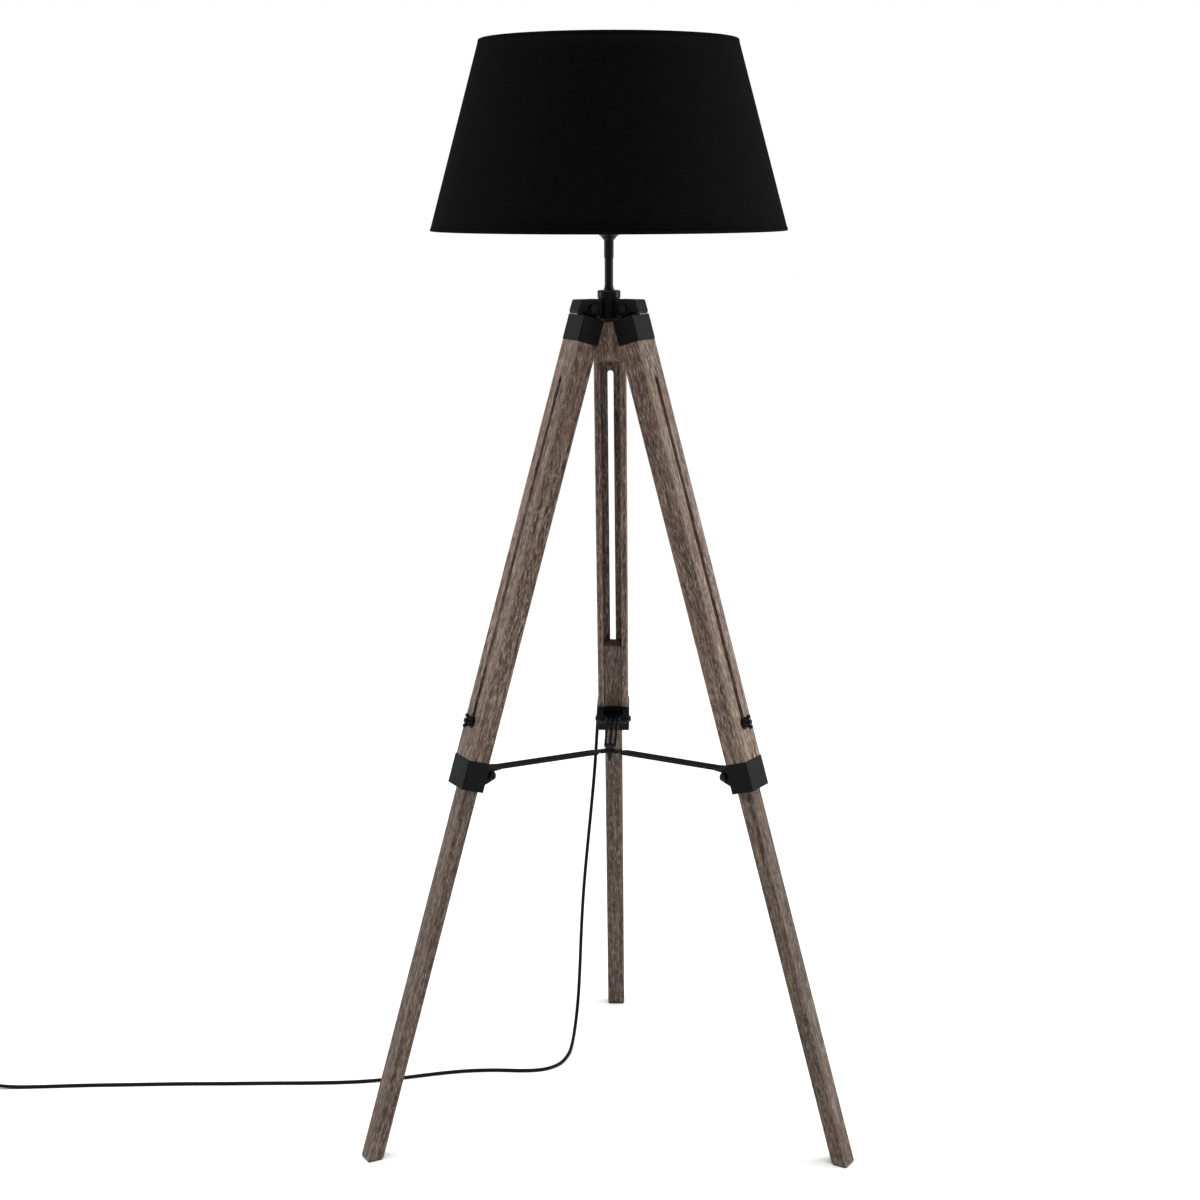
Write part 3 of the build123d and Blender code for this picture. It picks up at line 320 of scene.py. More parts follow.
def stained_wood(name, axes, half_depth, half_width, offset, tone, seed):
    """Brushed, stained and washed hardwood with its grain along a leg's z, and a painted highlight on its
    corners.
    """
    wood = start_material(name, Roughness=0.62, Specular_IOR_Level=0.3)
    object_space = add(wood, "TexCoord")
    on_leg = add(
        wood, "Mapping", {"vector_type": "TEXTURE"}, Vector=(object_space, "Object"),
        Location=axes.translation, Rotation=axes.to_euler(),
    )
    split = add(wood, "SeparateXYZ", Vector=(on_leg, 0))
    # slow waves bend the streaks a little
    drift = add(
        wood, "TexNoise", {"noise_dimensions": "4D"}, Vector=(on_leg, 0), W=seed,
        Scale=1 / (70 * MM), Detail=1.0,
    )
    bent = add(wood, "VectorMath", {"operation": "MULTIPLY_ADD"}, i0=(drift, "Color"),
               i1=(7 * MM, 7 * MM, 0), i2=(on_leg, 0))
    lanes = add(wood, "VectorMath", {"operation": "MULTIPLY"}, i0=(bent, 0), i1=(1, 1, 0.035))
    squeezed = add(wood, "VectorMath", {"operation": "MULTIPLY"}, i0=(bent, 0), i1=(1, 1, 0.16))
    # half a noise cell is one streak: bands 2.8 mm, streaks 1 mm, flecks 0.8 mm. These widths are
    # given. Real pores are a few tenths of a millimetre wide, too fine to show.
    bands = add(wood, "TexNoise", {"noise_dimensions": "4D"}, Vector=(lanes, 0), W=seed + 1,
                Scale=1 / (5.5 * MM), Detail=2.0)
    streaks = add(wood, "TexNoise", {"noise_dimensions": "4D"}, Vector=(squeezed, 0), W=seed + 2,
                  Scale=1 / (2.0 * MM), Detail=3.0, Roughness=0.6)
    flecks = add(wood, "VectorMath", {"operation": "MULTIPLY"}, i0=(bent, 0), i1=(1, 1, 0.22))
    wash = add(wood, "TexNoise", {"noise_dimensions": "4D"}, Vector=(flecks, 0), W=seed + 3,
               Scale=1 / (1.6 * MM), Detail=2.0, Roughness=0.7)
    patches = add(wood, "TexNoise", {"noise_dimensions": "4D"}, Vector=(on_leg, 0), W=seed + 4,
                  Scale=1 / (45 * MM), Detail=4.0, Roughness=0.6)
    stain = colours(
        wood, (streaks, "Fac"), (0.38, "1E1411"), (0.46, "46372F"), (0.54, "6B584C"), (0.63, "A08D7B"),
    )
    brown = colours(wood, (bands, "Fac"), (0.38, "241713"), (0.49, "54423A"), (0.62, "826E5F"))
    grain = add(wood, "Mix", {"data_type": "RGBA"}, i0=0.45, i6=(stain, 0), i7=(brown, 0))
    ruddy = levels(wood, (patches, "Fac"), 0.48, 0.64, 0.0, 0.38)
    warmed = add(wood, "Mix", {"data_type": "RGBA"}, i0=(ruddy, 0), i6=(grain, 2), i7=linear("54352A"))
    caught = levels(wood, (wash, "Fac"), 0.57, 0.68, 0.0, 0.65)
    washed = add(wood, "Mix", {"data_type": "RGBA"}, i0=(caught, 0), i6=(warmed, 2), i7=linear("A09182"))
    # painted highlight on the corners: near the edge both through the depth and across the width
    moved = add(wood, "Math", {"operation": "SUBTRACT"}, i0=(split, 0), i1=offset)
    depth = add(wood, "Math", {"operation": "ABSOLUTE"}, i0=(moved, 0))
    width = add(wood, "Math", {"operation": "ABSOLUTE"}, i0=(split, 1))
    near_back = levels(wood, (depth, 0), half_depth - 2.6 * MM, half_depth - 0.6 * MM)
    near_side = levels(wood, (width, 0), half_width - 2.6 * MM, half_width - 0.6 * MM)
    corner = add(wood, "Math", {"operation": "MULTIPLY"}, i0=(near_back, 0), i1=(near_side, 0))
    uneven_highlight_mask = add(wood, "Math", {"operation": "MULTIPLY"}, i0=(corner, 0), i1=(streaks, "Fac"))
    # the pale 867869 at the corners is a painted edge highlight, broken up by the streaks
    wood_with_painted_highlight = add(wood, "Mix", {"data_type": "RGBA"}, i0=(uneven_highlight_mask, 0), i6=(washed, 2), i7=linear("867869"))
    rough = levels(wood, (streaks, "Fac"), 0.3, 0.7, 0.74, 0.52)
    relief = add(wood, "Math", {"operation": "MULTIPLY_ADD"}, i0=(wash, "Fac"), i1=0.35, i2=(streaks, "Fac"))
    bump = add(wood, "Bump", Height=(relief, 0), Strength=0.55, Distance=0.5 * MM)
    toned = add(wood, "HueSaturation", Value=tone, Color=(wood_with_painted_highlight, 2))
    drive(wood, Base_Color=(toned, 0), Roughness=(rough, 0), Normal=(bump, 0))
    return wood


# half depth, half width, offset outwards, and tone: the lower battens look darker than the rails
RAIL = (15 * MM, 21.7 * MM, 0, 0.97)
BATTEN = (10.3 * MM, 12.6 * MM, -3 * MM, 0.64)
for number, name in enumerate(LEGS):
    axes = leg_axes(name)
    rail_wood = stained_wood(f"stained_wood_rail_{name}", axes, *RAIL, seed=10 * number)
    batten_wood = stained_wood(f"stained_wood_batten_{name}", axes, *BATTEN, seed=10 * number + 5)
    finish_with(rail_wood, f"upper_leg_{name}")
    finish_with(batten_wood, f"lower_leg_{name}")

# %% [markdown]
# ## Moulded black fittings
# Caps, sleeves and the hinge head are moulded from glass-filled nylon in a finely eroded steel mould.
# The skin is a dull satin with a fine even grit. The grit is about 0.3 mm on the real part; it is drawn
# at 0.6 mm so that it shows at all. Over this bright floor, a plastic's usual specular level of 0.5 looks
# grey. So the levels of the black finishes are set far lower, to match the look under this light.
# They are not the materials' own values, and should go back towards 0.5 under other light.


# %% Moulded nylon
def speckled(name, dark, light, grit, depth, roughness, **surface):
    """A skin with an even fine relief and a faint cloudiness."""
    skin = start_material(name, Roughness=roughness, **surface)
    space = add(skin, "TexCoord")
    fine = add(skin, "TexNoise", Vector=(space, "Object"), Scale=1 / (grit * MM), Detail=2.0)
    cloud = add(skin, "TexNoise", Vector=(space, "Object"), Scale=1 / (40 * MM), Detail=3.0)
    tint = colours(skin, (cloud, "Fac"), (0.35, dark), (0.65, light))
    rough = levels(skin, (cloud, "Fac"), 0.3, 0.7, roughness - 0.05, roughness + 0.06)
    bump = add(skin, "Bump", Height=(fine, "Fac"), Strength=0.35, Distance=depth * MM)
    drive(skin, Base_Color=(tint, 0), Roughness=(rough, 0), Normal=(bump, 0))
    return skin


nylon = speckled(
    "moulded_nylon_black", "080808", "0B0B0C", 0.6, 0.12, 0.55, IOR=1.53, Specular_IOR_Level=0.08,
)
for name in LEGS:
    finish_with(nylon, f"leg_cap_{name}", f"leg_sleeve_{name}")
finish_with(nylon, "head_hub", "cord_clips")

# %% [markdown]
# ## Powder-coated steel
# The stem, the holder's shell and the spreader's strips are mild steel with a black powder coat, baked
# so that it flows into a slight orange peel: waves about 2 mm across and hardly deep at all.

# %% Powder-coated steel
powder = speckled(
    "powder_coated_steel_black", "070707", "0B0B0C", 2.2, 0.08, 0.36, IOR=1.5, Specular_IOR_Level=0.1,
)
finish_with(powder, "stem_tube", "stem_collar", "stem_sleeve", "holder_cup", "lamp_holder", "shade_ring_nut")
finish_with(powder, "spreader_arm_rear", "spreader_arm_left", "spreader_arm_right", "spreader_hub")

# %% [markdown]
# ## Blackened zinc fasteners
# Bolts, pins, washers and nuts are zinc-plated steel, turned black in a chromate bath. It is still a
# metal surface: dark, a little glossy, with a cloudy tint and fine handling scratches. The hub's rivets
# are copper, gone brown.


# %% Fasteners
def scratched_metal(name, dark, light, roughness):
    """A plated metal with fine crossing scratches and a cloudy tint."""
    metal = start_material(name, Metallic=1.0, Roughness=roughness)
    space = add(metal, "TexCoord")
    lines = add(metal, "VectorMath", {"operation": "MULTIPLY"}, i0=(space, "Object"), i1=(1, 0.06, 0.5))
    marks = add(metal, "TexNoise", Vector=(lines, 0), Scale=1 / (0.5 * MM), Detail=3.0)
    cloud = add(metal, "TexNoise", Vector=(space, "Object"), Scale=1 / (6 * MM), Detail=3.0)
    tint = colours(metal, (cloud, "Fac"), (0.3, dark), (0.7, light))
    rough = levels(metal, (marks, "Fac"), 0.35, 0.7, roughness - 0.08, roughness + 0.12)
    bump = add(metal, "Bump", Height=(marks, "Fac"), Strength=0.25, Distance=0.05 * MM)
    drive(metal, Base_Color=(tint, 0), Roughness=(rough, 0), Normal=(bump, 0))
    return metal


zinc = scratched_metal("blackened_zinc_steel", "1C1B1B", "2E2C2B", 0.44)
for name in LEGS:
    finish_with(zinc, f"arm_pin_{name}", f"clamp_bolt_{name}", f"clamp_washer_{name}")
finish_with(zinc, "hinge_bolts", "hinge_nuts", "stem_nut", "hub_bolt")
copper = scratched_metal("copper_rivet", "4A3029", "6E483B", 0.42)
finish_with(copper, "hub_rivets")

# %% [markdown]
# ## Small plain finishes
# Felt glides under the feet, white epoxy on the shade's wires, gloss moulded ABS on the foot switch and
# bright nickel on the plug's pins. Each is short, but none is one flat colour.

# %% Felt, epoxy, ABS and nickel
felt = speckled(
    "pressed_felt_dark", "1C1917", "37312C", 0.5, 0.5, 0.92, Sheen_Weight=0.35, Sheen_Roughness=0.6,
)
for name in LEGS:
    finish_with(felt, f"foot_pad_{name}")
epoxy = speckled("epoxy_coated_wire_white", "DAD8D0", "E8E6DF", 1.5, 0.05, 0.34, IOR=1.5)
finish_with(epoxy, "shade_carrier", "shade_top_ring")
abs_black = speckled(
    "moulded_abs_black", "0D0D0E", "131314", 0.8, 0.06, 0.32, IOR=1.54, Specular_IOR_Level=0.35,
)
finish_with(abs_black, "cord_switch_base", "cord_switch_cover", "cord_switch_rocker")
nickel = scratched_metal("nickel_plated_brass", "B9B2A6", "CFC9BE", 0.2)
finish_with(nickel, "plug_pins")

# %% [markdown]
# ## Cord sheath
# The cord is covered in soft PVC: black, slightly waxy, with a very faint ripple along it from the
# extruder. The curve's own UV map runs along the cord, so the ripple follows it round every bend.

# %% Cord sheath
pvc = start_material("extruded_pvc_black", Roughness=0.44, IOR=1.54, Specular_IOR_Level=0.08)
along = add(pvc, "TexCoord")
ripples = flex_length / (4 * MM)
stretched = add(pvc, "VectorMath", {"operation": "MULTIPLY"}, i0=(along, "UV"), i1=(ripples, 6, 1))
ripple = add(pvc, "TexNoise", Vector=(stretched, 0), Scale=1.0, Detail=2.0)
pvc_tint = colours(pvc, (ripple, "Fac"), (0.3, "050505"), (0.7, "090909"))
pvc_rough = levels(pvc, (ripple, "Fac"), 0.3, 0.7, 0.38, 0.52)
pvc_bump = add(pvc, "Bump", Height=(ripple, "Fac"), Strength=0.2, Distance=0.05 * MM)
drive(pvc, Base_Color=(pvc_tint, 0), Roughness=(pvc_rough, 0), Normal=(pvc_bump, 0))
mains_flex.data.materials.append(pvc)
print(pvc.name, "ripple every 4 mm")

# %% [markdown]
# ## Turned pieces
# Many pieces of a lamp are round: a lathe would make them. In Blender the same idea is a short outline
# spun about an axis. One helper draws the outline with a few vertices, spins it, merges the seam, turns
# the faces outward and puts the piece in place. A small Bevel modifier breaks its edges, as a real
# tool does.


# %% Helpers for meshes
def new_piece(name, mesh_data, material, body, slot, *stands_for):
    """Turn a bmesh into a finished piece that rides on a body."""
    mesh = bpy.data.meshes.new(name)
    mesh_data.to_mesh(mesh)
    mesh_data.free()
    mesh.materials.append(material)
    for face in mesh.polygons:
        face.use_smooth = True
    piece = bpy.data.objects.new(name, mesh)
    bpy.context.scene.collection.objects.link(piece)
    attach(piece, body)
    if stands_for:
        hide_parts(*stands_for)
    print(name, "faces", len(mesh.polygons), "stands for", ", ".join(stands_for) or "nothing")
    return piece


def break_edges(piece, width, angle=35, segments=2):
    """Small rounded edges, and normals that keep the flats flat."""
    bevel = piece.modifiers.new("edges", "BEVEL")
    bevel.width = width
    bevel.segments = segments
    bevel.limit_method = "ANGLE"
    bevel.angle_limit = radians(angle)
    bevel.harden_normals = True
    return piece


def spin_outline(mesh_data, outline, place=Matrix.Identity(4), steps=48):
    """Spin (radius, height) points about z, then put the result in place."""
    ring = [mesh_data.verts.new((radius, 0, height)) for radius, height in outline]
    edges = [mesh_data.edges.new(pair) for pair in zip(ring, ring[1:] + ring[:1])]
    before = set(mesh_data.verts) - set(ring)
    bmesh.ops.spin(
        mesh_data, geom=ring + edges, axis=(0, 0, 1), cent=(0, 0, 0), angle=2 * pi,
        steps=steps, use_merge=True, use_normal_flip=False, use_duplicate=False,
    )
    made = [vertex for vertex in mesh_data.verts if vertex not in before]
    bmesh.ops.remove_doubles(mesh_data, verts=made, dist=1e-6)
    made = [vertex for vertex in mesh_data.verts if vertex not in before]
    bmesh.ops.transform(mesh_data, matrix=place, verts=made)
    bmesh.ops.recalc_face_normals(mesh_data, faces=mesh_data.faces)


def extrude_outline(mesh_data, outline, thickness, place):
    """A flat plate from an outline in x and z, with its thickness along y."""
    corners = [mesh_data.verts.new((x, -thickness / 2, z)) for x, z in outline]
    plate = mesh_data.faces.new(corners)
    grown = bmesh.ops.extrude_face_region(mesh_data, geom=[plate])["geom"]
    lifted = [part for part in grown if isinstance(part, bmesh.types.BMVert)]
    bmesh.ops.translate(mesh_data, vec=(0, thickness, 0), verts=lifted)
    bmesh.ops.transform(mesh_data, matrix=place, verts=corners + lifted)
    bmesh.ops.recalc_face_normals(mesh_data, faces=mesh_data.faces)


def towards(place, z_axis, x_axis):
    """Matrix that stands a piece at a place, its z and x along these directions."""
    z_axis = Vector(z_axis).normalized()
    y_axis = z_axis.cross(Vector(x_axis)).normalized()
    x_axis = y_axis.cross(z_axis)
    turned = Matrix((x_axis, y_axis, z_axis)).transposed().to_4x4()
    return Matrix.Translation(place) @ turned


# %% [markdown]
# ## Wing nuts
# A wing nut is pressed or cast: a short cone with two rounded ears, bent a little outward, which the
# fingers turn. The cone is spun; the ears are plates with rounded tips, and all edges are broken.


# %% Wing nuts
def ear_outline(side, base, reach, height):
    """One ear: in to the nut's middle, out to a round tip."""
    tip = Vector((reach - 2.6 * MM, height - 2.9 * MM))
    outline = [(0, height * 0.14), (side * base * 0.95, height * 0.14)]
    for turn in range(-70, 131, 25):
        point = tip + Vector((cos(radians(turn)), sin(radians(turn)))) * 2.6 * MM
        outline.append((side * point.x, point.y))
    outline.append((side * base * 0.5, height * 0.52))
    outline.append((0, height * 0.46))
    return outline if side < 0 else outline[::-1]


def wing_nut(name, base, reach, height, place, body, node):
    """A wing nut that stands on its seat, wings along its x."""
    nut = bmesh.new()
    bore = 3.05 * MM
    spin_outline(nut, [
        (bore, 0), (base, 0), (base, height * 0.12), (base * 0.78, height * 0.55), (bore, height * 0.55),
    ], place, steps=36)
    for side in (-1, 1):
        extrude_outline(nut, ear_outline(side, base, reach, height), 2.4 * MM, place)
    piece = new_piece(name, nut, zinc, body, "black_zinc", node)
    return break_edges(piece, 0.35 * MM)


for name in LEGS:
    up = Vector(joints[f"leg_slide_{name}"]["axis"])
    out = Vector(joints[f"wing_nut_turn_{name}"]["axis"])
    seat = Vector(joints[f"wing_nut_turn_{name}"]["pos_m"])
    low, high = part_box(f"wing_nut_{name}")
    middle = (low + high) / 2
    base_point = seat + out * ((middle - seat).dot(out) - 5.5 * MM)
    wing_nut(f"wing_nut_detail_{name}", 6 * MM, 9.5 * MM, 11 * MM,
             towards(base_point, out, up), f"wing_nut_{name}", f"wing_nut_{name}")
low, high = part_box("hub_wing_nut")
wing_nut("hub_wing_nut_detail", 5.2 * MM, 7 * MM, 13.5 * MM,
         towards((0, 0, high.z), (0, 0, -1), (0, 1, 0)), "hub_wing_nut", "hub_wing_nut")

# %% [markdown]
# ## Strain relief
# Where the cord leaves the head, a soft moulded boot keeps it from kinking: thick at the housing, thin
# at its mouth, with ribs that let it bend. The outline goes down the outside with its ribs and comes
# back up the bore. A small lug carries it on the head.

# %% Strain relief
cord_start = Vector(route[0])
down = (Vector(route[1]) - cord_start).normalized()
across = Vector((1, 0, 0))
BOOT = 28 * MM
RIBS = 5
boot = bmesh.new()
outline = [(CORD / 2, 0), (4.6 * MM, 0), (4.6 * MM, 9 * MM), (3.9 * MM, 10 * MM)]
for rib in range(RIBS):
    height = 10.8 * MM + rib * 3.4 * MM
    radius = 4.1 * MM - rib * 0.16 * MM
    outline += [(radius, height), (radius, height + 1.9 * MM), (radius - 0.7 * MM, height + 2.2 * MM),
                (radius - 0.7 * MM, height + 3.1 * MM)]
outline += [(3.1 * MM, BOOT), (CORD / 2, BOOT)]
boot_place = towards(cord_start - down * BOOT, down, across)
spin_outline(boot, outline, boot_place, steps=40)
LUG_MIDDLE = (4 * MM, 0, 6.5 * MM)
LUG_SIZE = (5 * MM, 6 * MM, 11 * MM, 1)
lug = bmesh.ops.create_cube(boot, size=1)["verts"]
lug_place = Matrix.Translation(LUG_MIDDLE) @ Matrix.Diagonal(LUG_SIZE)
bmesh.ops.transform(boot, matrix=boot_place @ lug_place, verts=lug)
cord_boot = new_piece("cord_boot", boot, pvc, "head", "cord_sheath", "cord_gland")
break_edges(cord_boot, 0.3 * MM)

# %% [markdown]
# ## Plug
# A flat two-pin plug, moulded in one with the cord: a slim waist for the fingers, a wider face for the
# pins, and a ribbed boot. The body is a plate from its outline, well rounded; the boot is spun.

# %% Plug
plug_back = Vector(tail[-1])
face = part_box("plug_pins")[0].x - plug_back.x
plug = bmesh.new()
half_back, half_face, thick = 12 * MM, 17.6 * MM, 13.6 * MM
body_start = 20 * MM
outline = [
    (half_back - 3 * MM, body_start), (half_back, body_start + 3 * MM),
    (half_back + 0.5 * MM, body_start + 12 * MM), (half_face, body_start + 22 * MM), (half_face, face),
]
outline = outline + [(-x, z) for x, z in reversed(outline)]
plug_place = towards(plug_back, (1, 0, 0), (0, 1, 0))
extrude_outline(plug, outline, thick, plug_place)
bmesh.ops.bevel(
    plug, geom=[edge for edge in plug.edges if edge.calc_face_angle(0) > radians(60)], offset=2.6 * MM,
    offset_type="OFFSET", segments=4, profile=0.5, affect="EDGES", material=-1, clamp_overlap=True,
)
outline = [(CORD / 2, 0), (3.5 * MM, 0)]
for rib in range(4):
    height = 2 * MM + rib * 4.2 * MM
    radius = 3.9 * MM + rib * 0.45 * MM
    outline += [(radius, height), (radius, height + 2.4 * MM), (radius - 0.9 * MM, height + 2.8 * MM),
                (radius - 0.9 * MM, height + 3.9 * MM)]
outline += [(5.4 * MM, 19 * MM), (5.4 * MM, 23 * MM), (CORD / 2, 23 * MM)]
spin_outline(plug, outline, plug_place, steps=40)
mains_plug = new_piece("mains_plug", plug, abs_black, "head", "switch_black", "plug_body")
break_edges(mains_plug, 0.25 * MM)

# %% [markdown]
# ## Bulb
# The shade hides the bulb in a level view, but it is plain to see from above and below. The globe is
# opal glass, a thin white layer over clear, with a soft gloss. The cap is thin nickelled brass with a
# rolled thread: a wave in its outline, spun.

# %% Bulb
opal = start_material("opal_glass", Base_Color=linear("F3F0E8"), Roughness=0.16, IOR=1.52,
                      Subsurface_Weight=0.35, Subsurface_Scale=0.004, Coat_Weight=0.3)
opal_space = add(opal, "TexCoord")
opal_cloud = add(opal, "TexNoise", Vector=(opal_space, "Object"), Scale=1 / (25 * MM), Detail=2.0)
opal_tint = colours(opal, (opal_cloud, "Fac"), (0.3, "EDEAE1"), (0.7, "F7F5EF"))
drive(opal, Base_Color=(opal_tint, 0))
glass_low, glass_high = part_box("bulb_glass")
glass_radius = (glass_high.x - glass_low.x) / 2
globe_centre = glass_high.z - glass_radius
globe = bmesh.new()
neck = 13 * MM
outline = [(0, glass_low.z + 1 * MM), (neck - 1 * MM, glass_low.z + 1 * MM), (neck, glass_low.z + 2 * MM),
           (neck + 0.2 * MM, glass_low.z + 6 * MM), (neck + 1.9 * MM, glass_low.z + 13 * MM),
           (neck + 5.4 * MM, glass_low.z + 21 * MM)]
outline += [(glass_radius * cos(radians(a)), globe_centre + glass_radius * sin(radians(a)))
            for a in range(-50, 90, 10)] + [(0, glass_high.z)]
spin_outline(globe, outline, steps=56)
bulb_globe = new_piece("bulb_globe", globe, opal, "head", "bulb_opal", "bulb_glass")
smooth = bulb_globe.modifiers.new("smooth", "SUBSURF")
smooth.levels = smooth.render_levels = 1

cap_low, cap_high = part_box("bulb_cap")
cap = bmesh.new()
outline = [
    (0, cap_low.z), (4.5 * MM, cap_low.z), (5.5 * MM, cap_low.z + 1.5 * MM), (9 * MM, cap_low.z + 4 * MM),
]
THREADS = 6
for turn in range(THREADS * 4):
    wave = 0.45 * MM * cos(2 * pi * turn / 4)
    outline.append((12.3 * MM + wave, cap_low.z + 5 * MM + turn * 0.8 * MM))
outline += [(13 * MM, cap_high.z - 1.5 * MM), (13 * MM, cap_high.z), (0, cap_high.z)]
spin_outline(cap, outline, steps=48)
new_piece("bulb_thread", cap, nickel, "head", "bulb_metal", "bulb_cap")

# %% [markdown]
# ## Shade cloth
# The shade is a stiff styrene lining with a woven cotton-polyester cloth laminated outside. The cloth
# is cut as a ring sector, wrapped round and lapped at the back, then turned over the top and bottom
# wires, which gives a rounded hem. A grid is the natural start: one direction runs round, the other up
# the slope, and the same two directions are the weave's, so they also make the UV map, in metres. The
# threads are about 0.5 mm apart; they are drawn at 1 mm, with thicker slubs here and there.


# %% Woven cloth
def woven_cloth(name, dark, light):
    """Plain weave on a UV map in metres, with slubs both ways."""
    cloth = start_material(name, Roughness=0.88, Sheen_Weight=0.01, Sheen_Roughness=0.5,
                           Sheen_Tint=linear("8C8C90"), Specular_IOR_Level=0.02)
    space = add(cloth, "TexCoord")
    thread = 2 * pi / (1.0 * MM)
    split = add(cloth, "SeparateXYZ", Vector=(space, "UV"))
    waves = []
    for axis in (0, 1):
        phase = add(cloth, "Math", {"operation": "MULTIPLY"}, i0=(split, axis), i1=thread)
        waves.append(add(cloth, "Math", {"operation": "SINE"}, i0=(phase, 0)))
    weave = add(cloth, "Math", {"operation": "MULTIPLY"}, i0=(waves[0], 0), i1=(waves[1], 0))
    slubs = []
    for squeeze in ((40, 900, 1), (900, 40, 1)):
        lanes = add(cloth, "VectorMath", {"operation": "MULTIPLY"}, i0=(space, "UV"), i1=squeeze)
        slubs.append(add(cloth, "TexNoise", Vector=(lanes, 0), Scale=1.0, Detail=1.0))
    both = add(cloth, "Math", {"operation": "ADD"}, i0=(slubs[0], "Fac"), i1=(slubs[1], "Fac"))
    half = add(cloth, "Math", {"operation": "MULTIPLY"}, i0=(both, 0), i1=0.5)
    tint = colours(cloth, (half, 0), (0.35, dark), (0.75, light))
    relief = add(cloth, "Math", {"operation": "MULTIPLY_ADD"}, i0=(weave, 0), i1=0.5, i2=(both, 0))
    bump = add(cloth, "Bump", Height=(relief, 0), Strength=0.5, Distance=0.2 * MM)
    drive(cloth, Base_Color=(tint, 0), Normal=(bump, 0))
    return cloth


black_cloth = woven_cloth("woven_cotton_polyester_black", "050505", "0D0D0E")

# %% The shade's measures
low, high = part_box("shade_fabric")
SHADE_BOTTOM, SHADE_TOP = low.z, high.z
BOTTOM_RADIUS = (high.x - low.x) / 2
top_corner = max(
    hypot(v.co.x, v.co.y) for v in nodes["shade_fabric"].data.vertices if v.co.z > SHADE_TOP - 1 * MM
)
SLANT = hypot(SHADE_TOP - SHADE_BOTTOM, BOTTOM_RADIUS - top_corner)
print("shade radii", round(BOTTOM_RADIUS, 4), round(top_corner, 4), "slant", round(SLANT, 4))


def shade_radius(height):
    """Outer radius of the shade at this height."""
    share = (height - SHADE_BOTTOM) / (SHADE_TOP - SHADE_BOTTOM)
    return BOTTOM_RADIUS + share * (top_corner - BOTTOM_RADIUS)


def wrap(name, inset, lap, material, slot, bottom, top, *stands_for):
    """A sheet wrapped into a cone, its ends lapped at the back by an angle."""
    sheet = bmesh.new()
    uv = sheet.loops.layers.uv.new("UVMap")
    bmesh.ops.create_grid(sheet, x_segments=240, y_segments=12, size=1, calc_uvs=True)
    middle_radius = (BOTTOM_RADIUS + top_corner) / 2
    for face in sheet.faces:
        for loop in face.loops:
            loop[uv].uv = (loop[uv].uv.x * 2 * pi * middle_radius, loop[uv].uv.y * SLANT)
    lapped = 2 * pi + lap
    for vertex in sheet.verts:
        round_share, up_share = (vertex.co.x + 1) / 2, (vertex.co.y + 1) / 2
        angle = pi / 2 - lap / 2 + round_share * lapped
        height = bottom + up_share * (top - bottom)
        over = max(0.0, round_share * lapped - 2 * pi + lap) / (2 * lap) if lap else 0.0
        radius = shade_radius(height) - inset + 0.7 * MM * min(1.0, 2 * over)
        vertex.co = (radius * cos(angle), radius * sin(angle), height)
    if not lap:
        bmesh.ops.remove_doubles(sheet, verts=sheet.verts, dist=1e-5)
    bmesh.ops.recalc_face_normals(sheet, faces=sheet.faces)
    return new_piece(name, sheet, material, "head", slot, *stands_for)


# %% Cloth over the lining
LAP = radians(2.6)
shade_cloth = wrap("shade_cloth", 0.5 * MM, LAP, black_cloth, "shade_cloth", SHADE_BOTTOM + 1.5 * MM,
                   SHADE_TOP - 1.5 * MM, "shade_fabric")
thick = shade_cloth.modifiers.new("thickness", "SOLIDIFY")
thick.thickness = 0.45 * MM
thick.offset = 0

# %% [markdown]
# ## Lining and hems
# The lining is white styrene film. Its face is smooth and slightly satin, and brightens the room by
# sending light up and down. The hems are the cloth's own edge, turned over each wire: a rounded band on
# the outside that goes over the rim and 4 mm down the inside.

# %% Lining
styrene = speckled("styrene_film_white", "EBE8E0", "EEEBE3", 3.0, 0.02, 0.5, IOR=1.59)
lining = wrap("shade_lining_film", 1.45 * MM, 0, styrene, "shade_liner", SHADE_BOTTOM + 1 * MM,
              SHADE_TOP - 1 * MM, "shade_lining")
film = lining.modifiers.new("thickness", "SOLIDIFY")
film.thickness = 0.5 * MM
film.offset = 0


# %% Hems
def hem(name, rim_height, inward, material):
    """A turned-over edge that wraps the rim: inward is +1 at the bottom rim, -1 at the top."""
    band = bmesh.new()
    uv = band.loops.layers.uv.new("UVMap")
    reach = 4 * MM  # how far the cloth goes past the rim
    rim = 1.3 * MM  # radius of the rounded edge
    outline = []
    for along in (reach, reach * 0.5, 1.6 * MM):
        outline.append((0.05 * MM, along))
    for turn in (0, 45, 90, 135, 180):
        angle = radians(turn)
        outline.append((-1.2 * MM + rim * cos(angle), rim - rim * sin(angle)))
    outline += [(-2.5 * MM, 1.6 * MM), (-2.5 * MM, reach)]
    points = []
    for outset, along in outline:
        height = rim_height + inward * along
        points.append((shade_radius(height) + outset, height))
    ring = [band.verts.new((radius, 0, height)) for radius, height in points]
    edges = [band.edges.new(pair) for pair in zip(ring, ring[1:])]
    bmesh.ops.spin(band, geom=ring + edges, axis=(0, 0, 1), cent=(0, 0, 0), angle=2 * pi, steps=240,
                   use_merge=True, use_normal_flip=False, use_duplicate=False)
    bmesh.ops.remove_doubles(band, verts=band.verts, dist=1e-6)
    bmesh.ops.recalc_face_normals(band, faces=band.faces)
    for face in band.faces:
        start = atan2(*face.calc_center_median().yx)
        for loop in face.loops:
            turn = atan2(*loop.vert.co.yx)
            turn += 2 * pi * round((start - turn) / (2 * pi))
            loop[uv].uv = (turn * BOTTOM_RADIUS, loop.vert.co.z)
    piece = new_piece(name, band, material, "head", "shade_cloth")
    wall = piece.modifiers.new("thickness", "SOLIDIFY")
    wall.thickness = 0.4 * MM
    wall.offset = -1
    return piece


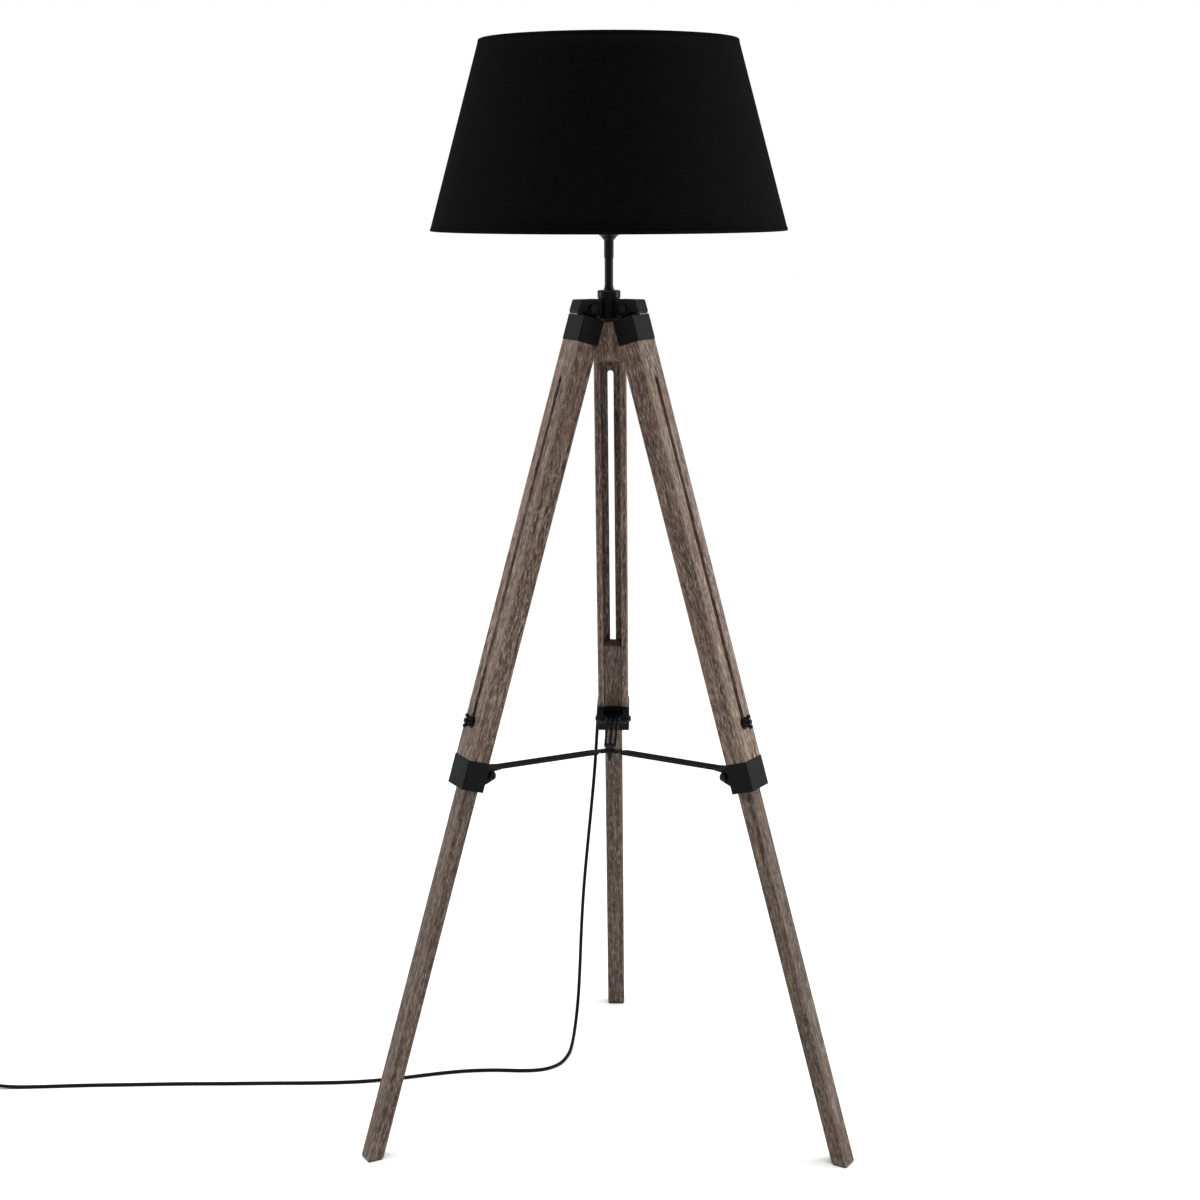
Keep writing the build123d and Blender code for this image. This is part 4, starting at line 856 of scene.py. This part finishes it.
bottom_hem = hem("shade_hem_bottom", SHADE_BOTTOM, 1, black_cloth)
top_hem = hem("shade_hem_top", SHADE_TOP, -1, black_cloth)

# %% [markdown]

# %% [markdown]
# ## Floor and light
# A wide pale floor and an even room, as in a studio. A broad overhead lamp lights the whole floor alike,
# so it reads white up to the horizon; a sun with a wide angle does that, since it does not fade with
# distance. Two area lamps, left and right, light the outer side of each leg and leave the faces towards
# the camera darker. The room shows white to the camera, but lights the pieces only weakly, so that black
# stays black.


# %% Floor and light
floor_mesh = bmesh.new()
bmesh.ops.create_grid(floor_mesh, x_segments=1, y_segments=1, size=12)
floor_data = bpy.data.meshes.new("studio_floor")
floor_mesh.to_mesh(floor_data)
floor_mesh.free()
floor = bpy.data.objects.new("studio_floor", floor_data)
bpy.context.scene.collection.objects.link(floor)
paint = start_material("studio_floor_paint", Base_Color=linear("F4F4F4"), Roughness=0.9)
floor_data.materials.append(paint)


def soft_light(name, place, size, power):
    """A square area light that faces the lamp."""
    data = bpy.data.lights.new(name, "AREA")
    data.size = size
    data.energy = power
    light = bpy.data.objects.new(name, data)
    bpy.context.scene.collection.objects.link(light)
    light.location = place
    light.rotation_mode = "QUATERNION"
    light.rotation_quaternion = (Vector(place) - Vector((0, 0, 0.8))).to_track_quat("Z", "Y")
    return light


overhead = bpy.data.lights.new("overhead", "SUN")
overhead.energy = 3.1
overhead.angle = radians(70)
overhead_light = bpy.data.objects.new("overhead", overhead)
bpy.context.scene.collection.objects.link(overhead_light)
overhead_light.rotation_mode = "QUATERNION"
overhead_light.rotation_quaternion = Vector((0.12, -0.2, 0.97)).to_track_quat("Z", "Y")
soft_light("left_light", (-2.6, 0.2, 1.5), 1.5, 46)
soft_light("right_light", (2.6, 0.2, 1.5), 1.5, 62)

world = bpy.data.worlds.new("studio")
bpy.context.scene.world = world
world.use_nodes = True
room = world.node_tree
backdrop = room.nodes["Background"]
backdrop.inputs["Color"].default_value = linear("FFFFFF")
ray = room.nodes.new("ShaderNodeLightPath")
brightness = room.nodes.new("ShaderNodeMapRange")
brightness.inputs["To Min"].default_value = 0.2  # what lights the pieces
brightness.inputs["To Max"].default_value = 1.0  # what the camera sees
room.links.new(ray.outputs["Is Camera Ray"], brightness.inputs["Value"])
room.links.new(brightness.outputs["Result"], backdrop.inputs["Strength"])
bpy.context.scene.view_settings.view_transform = "Standard"
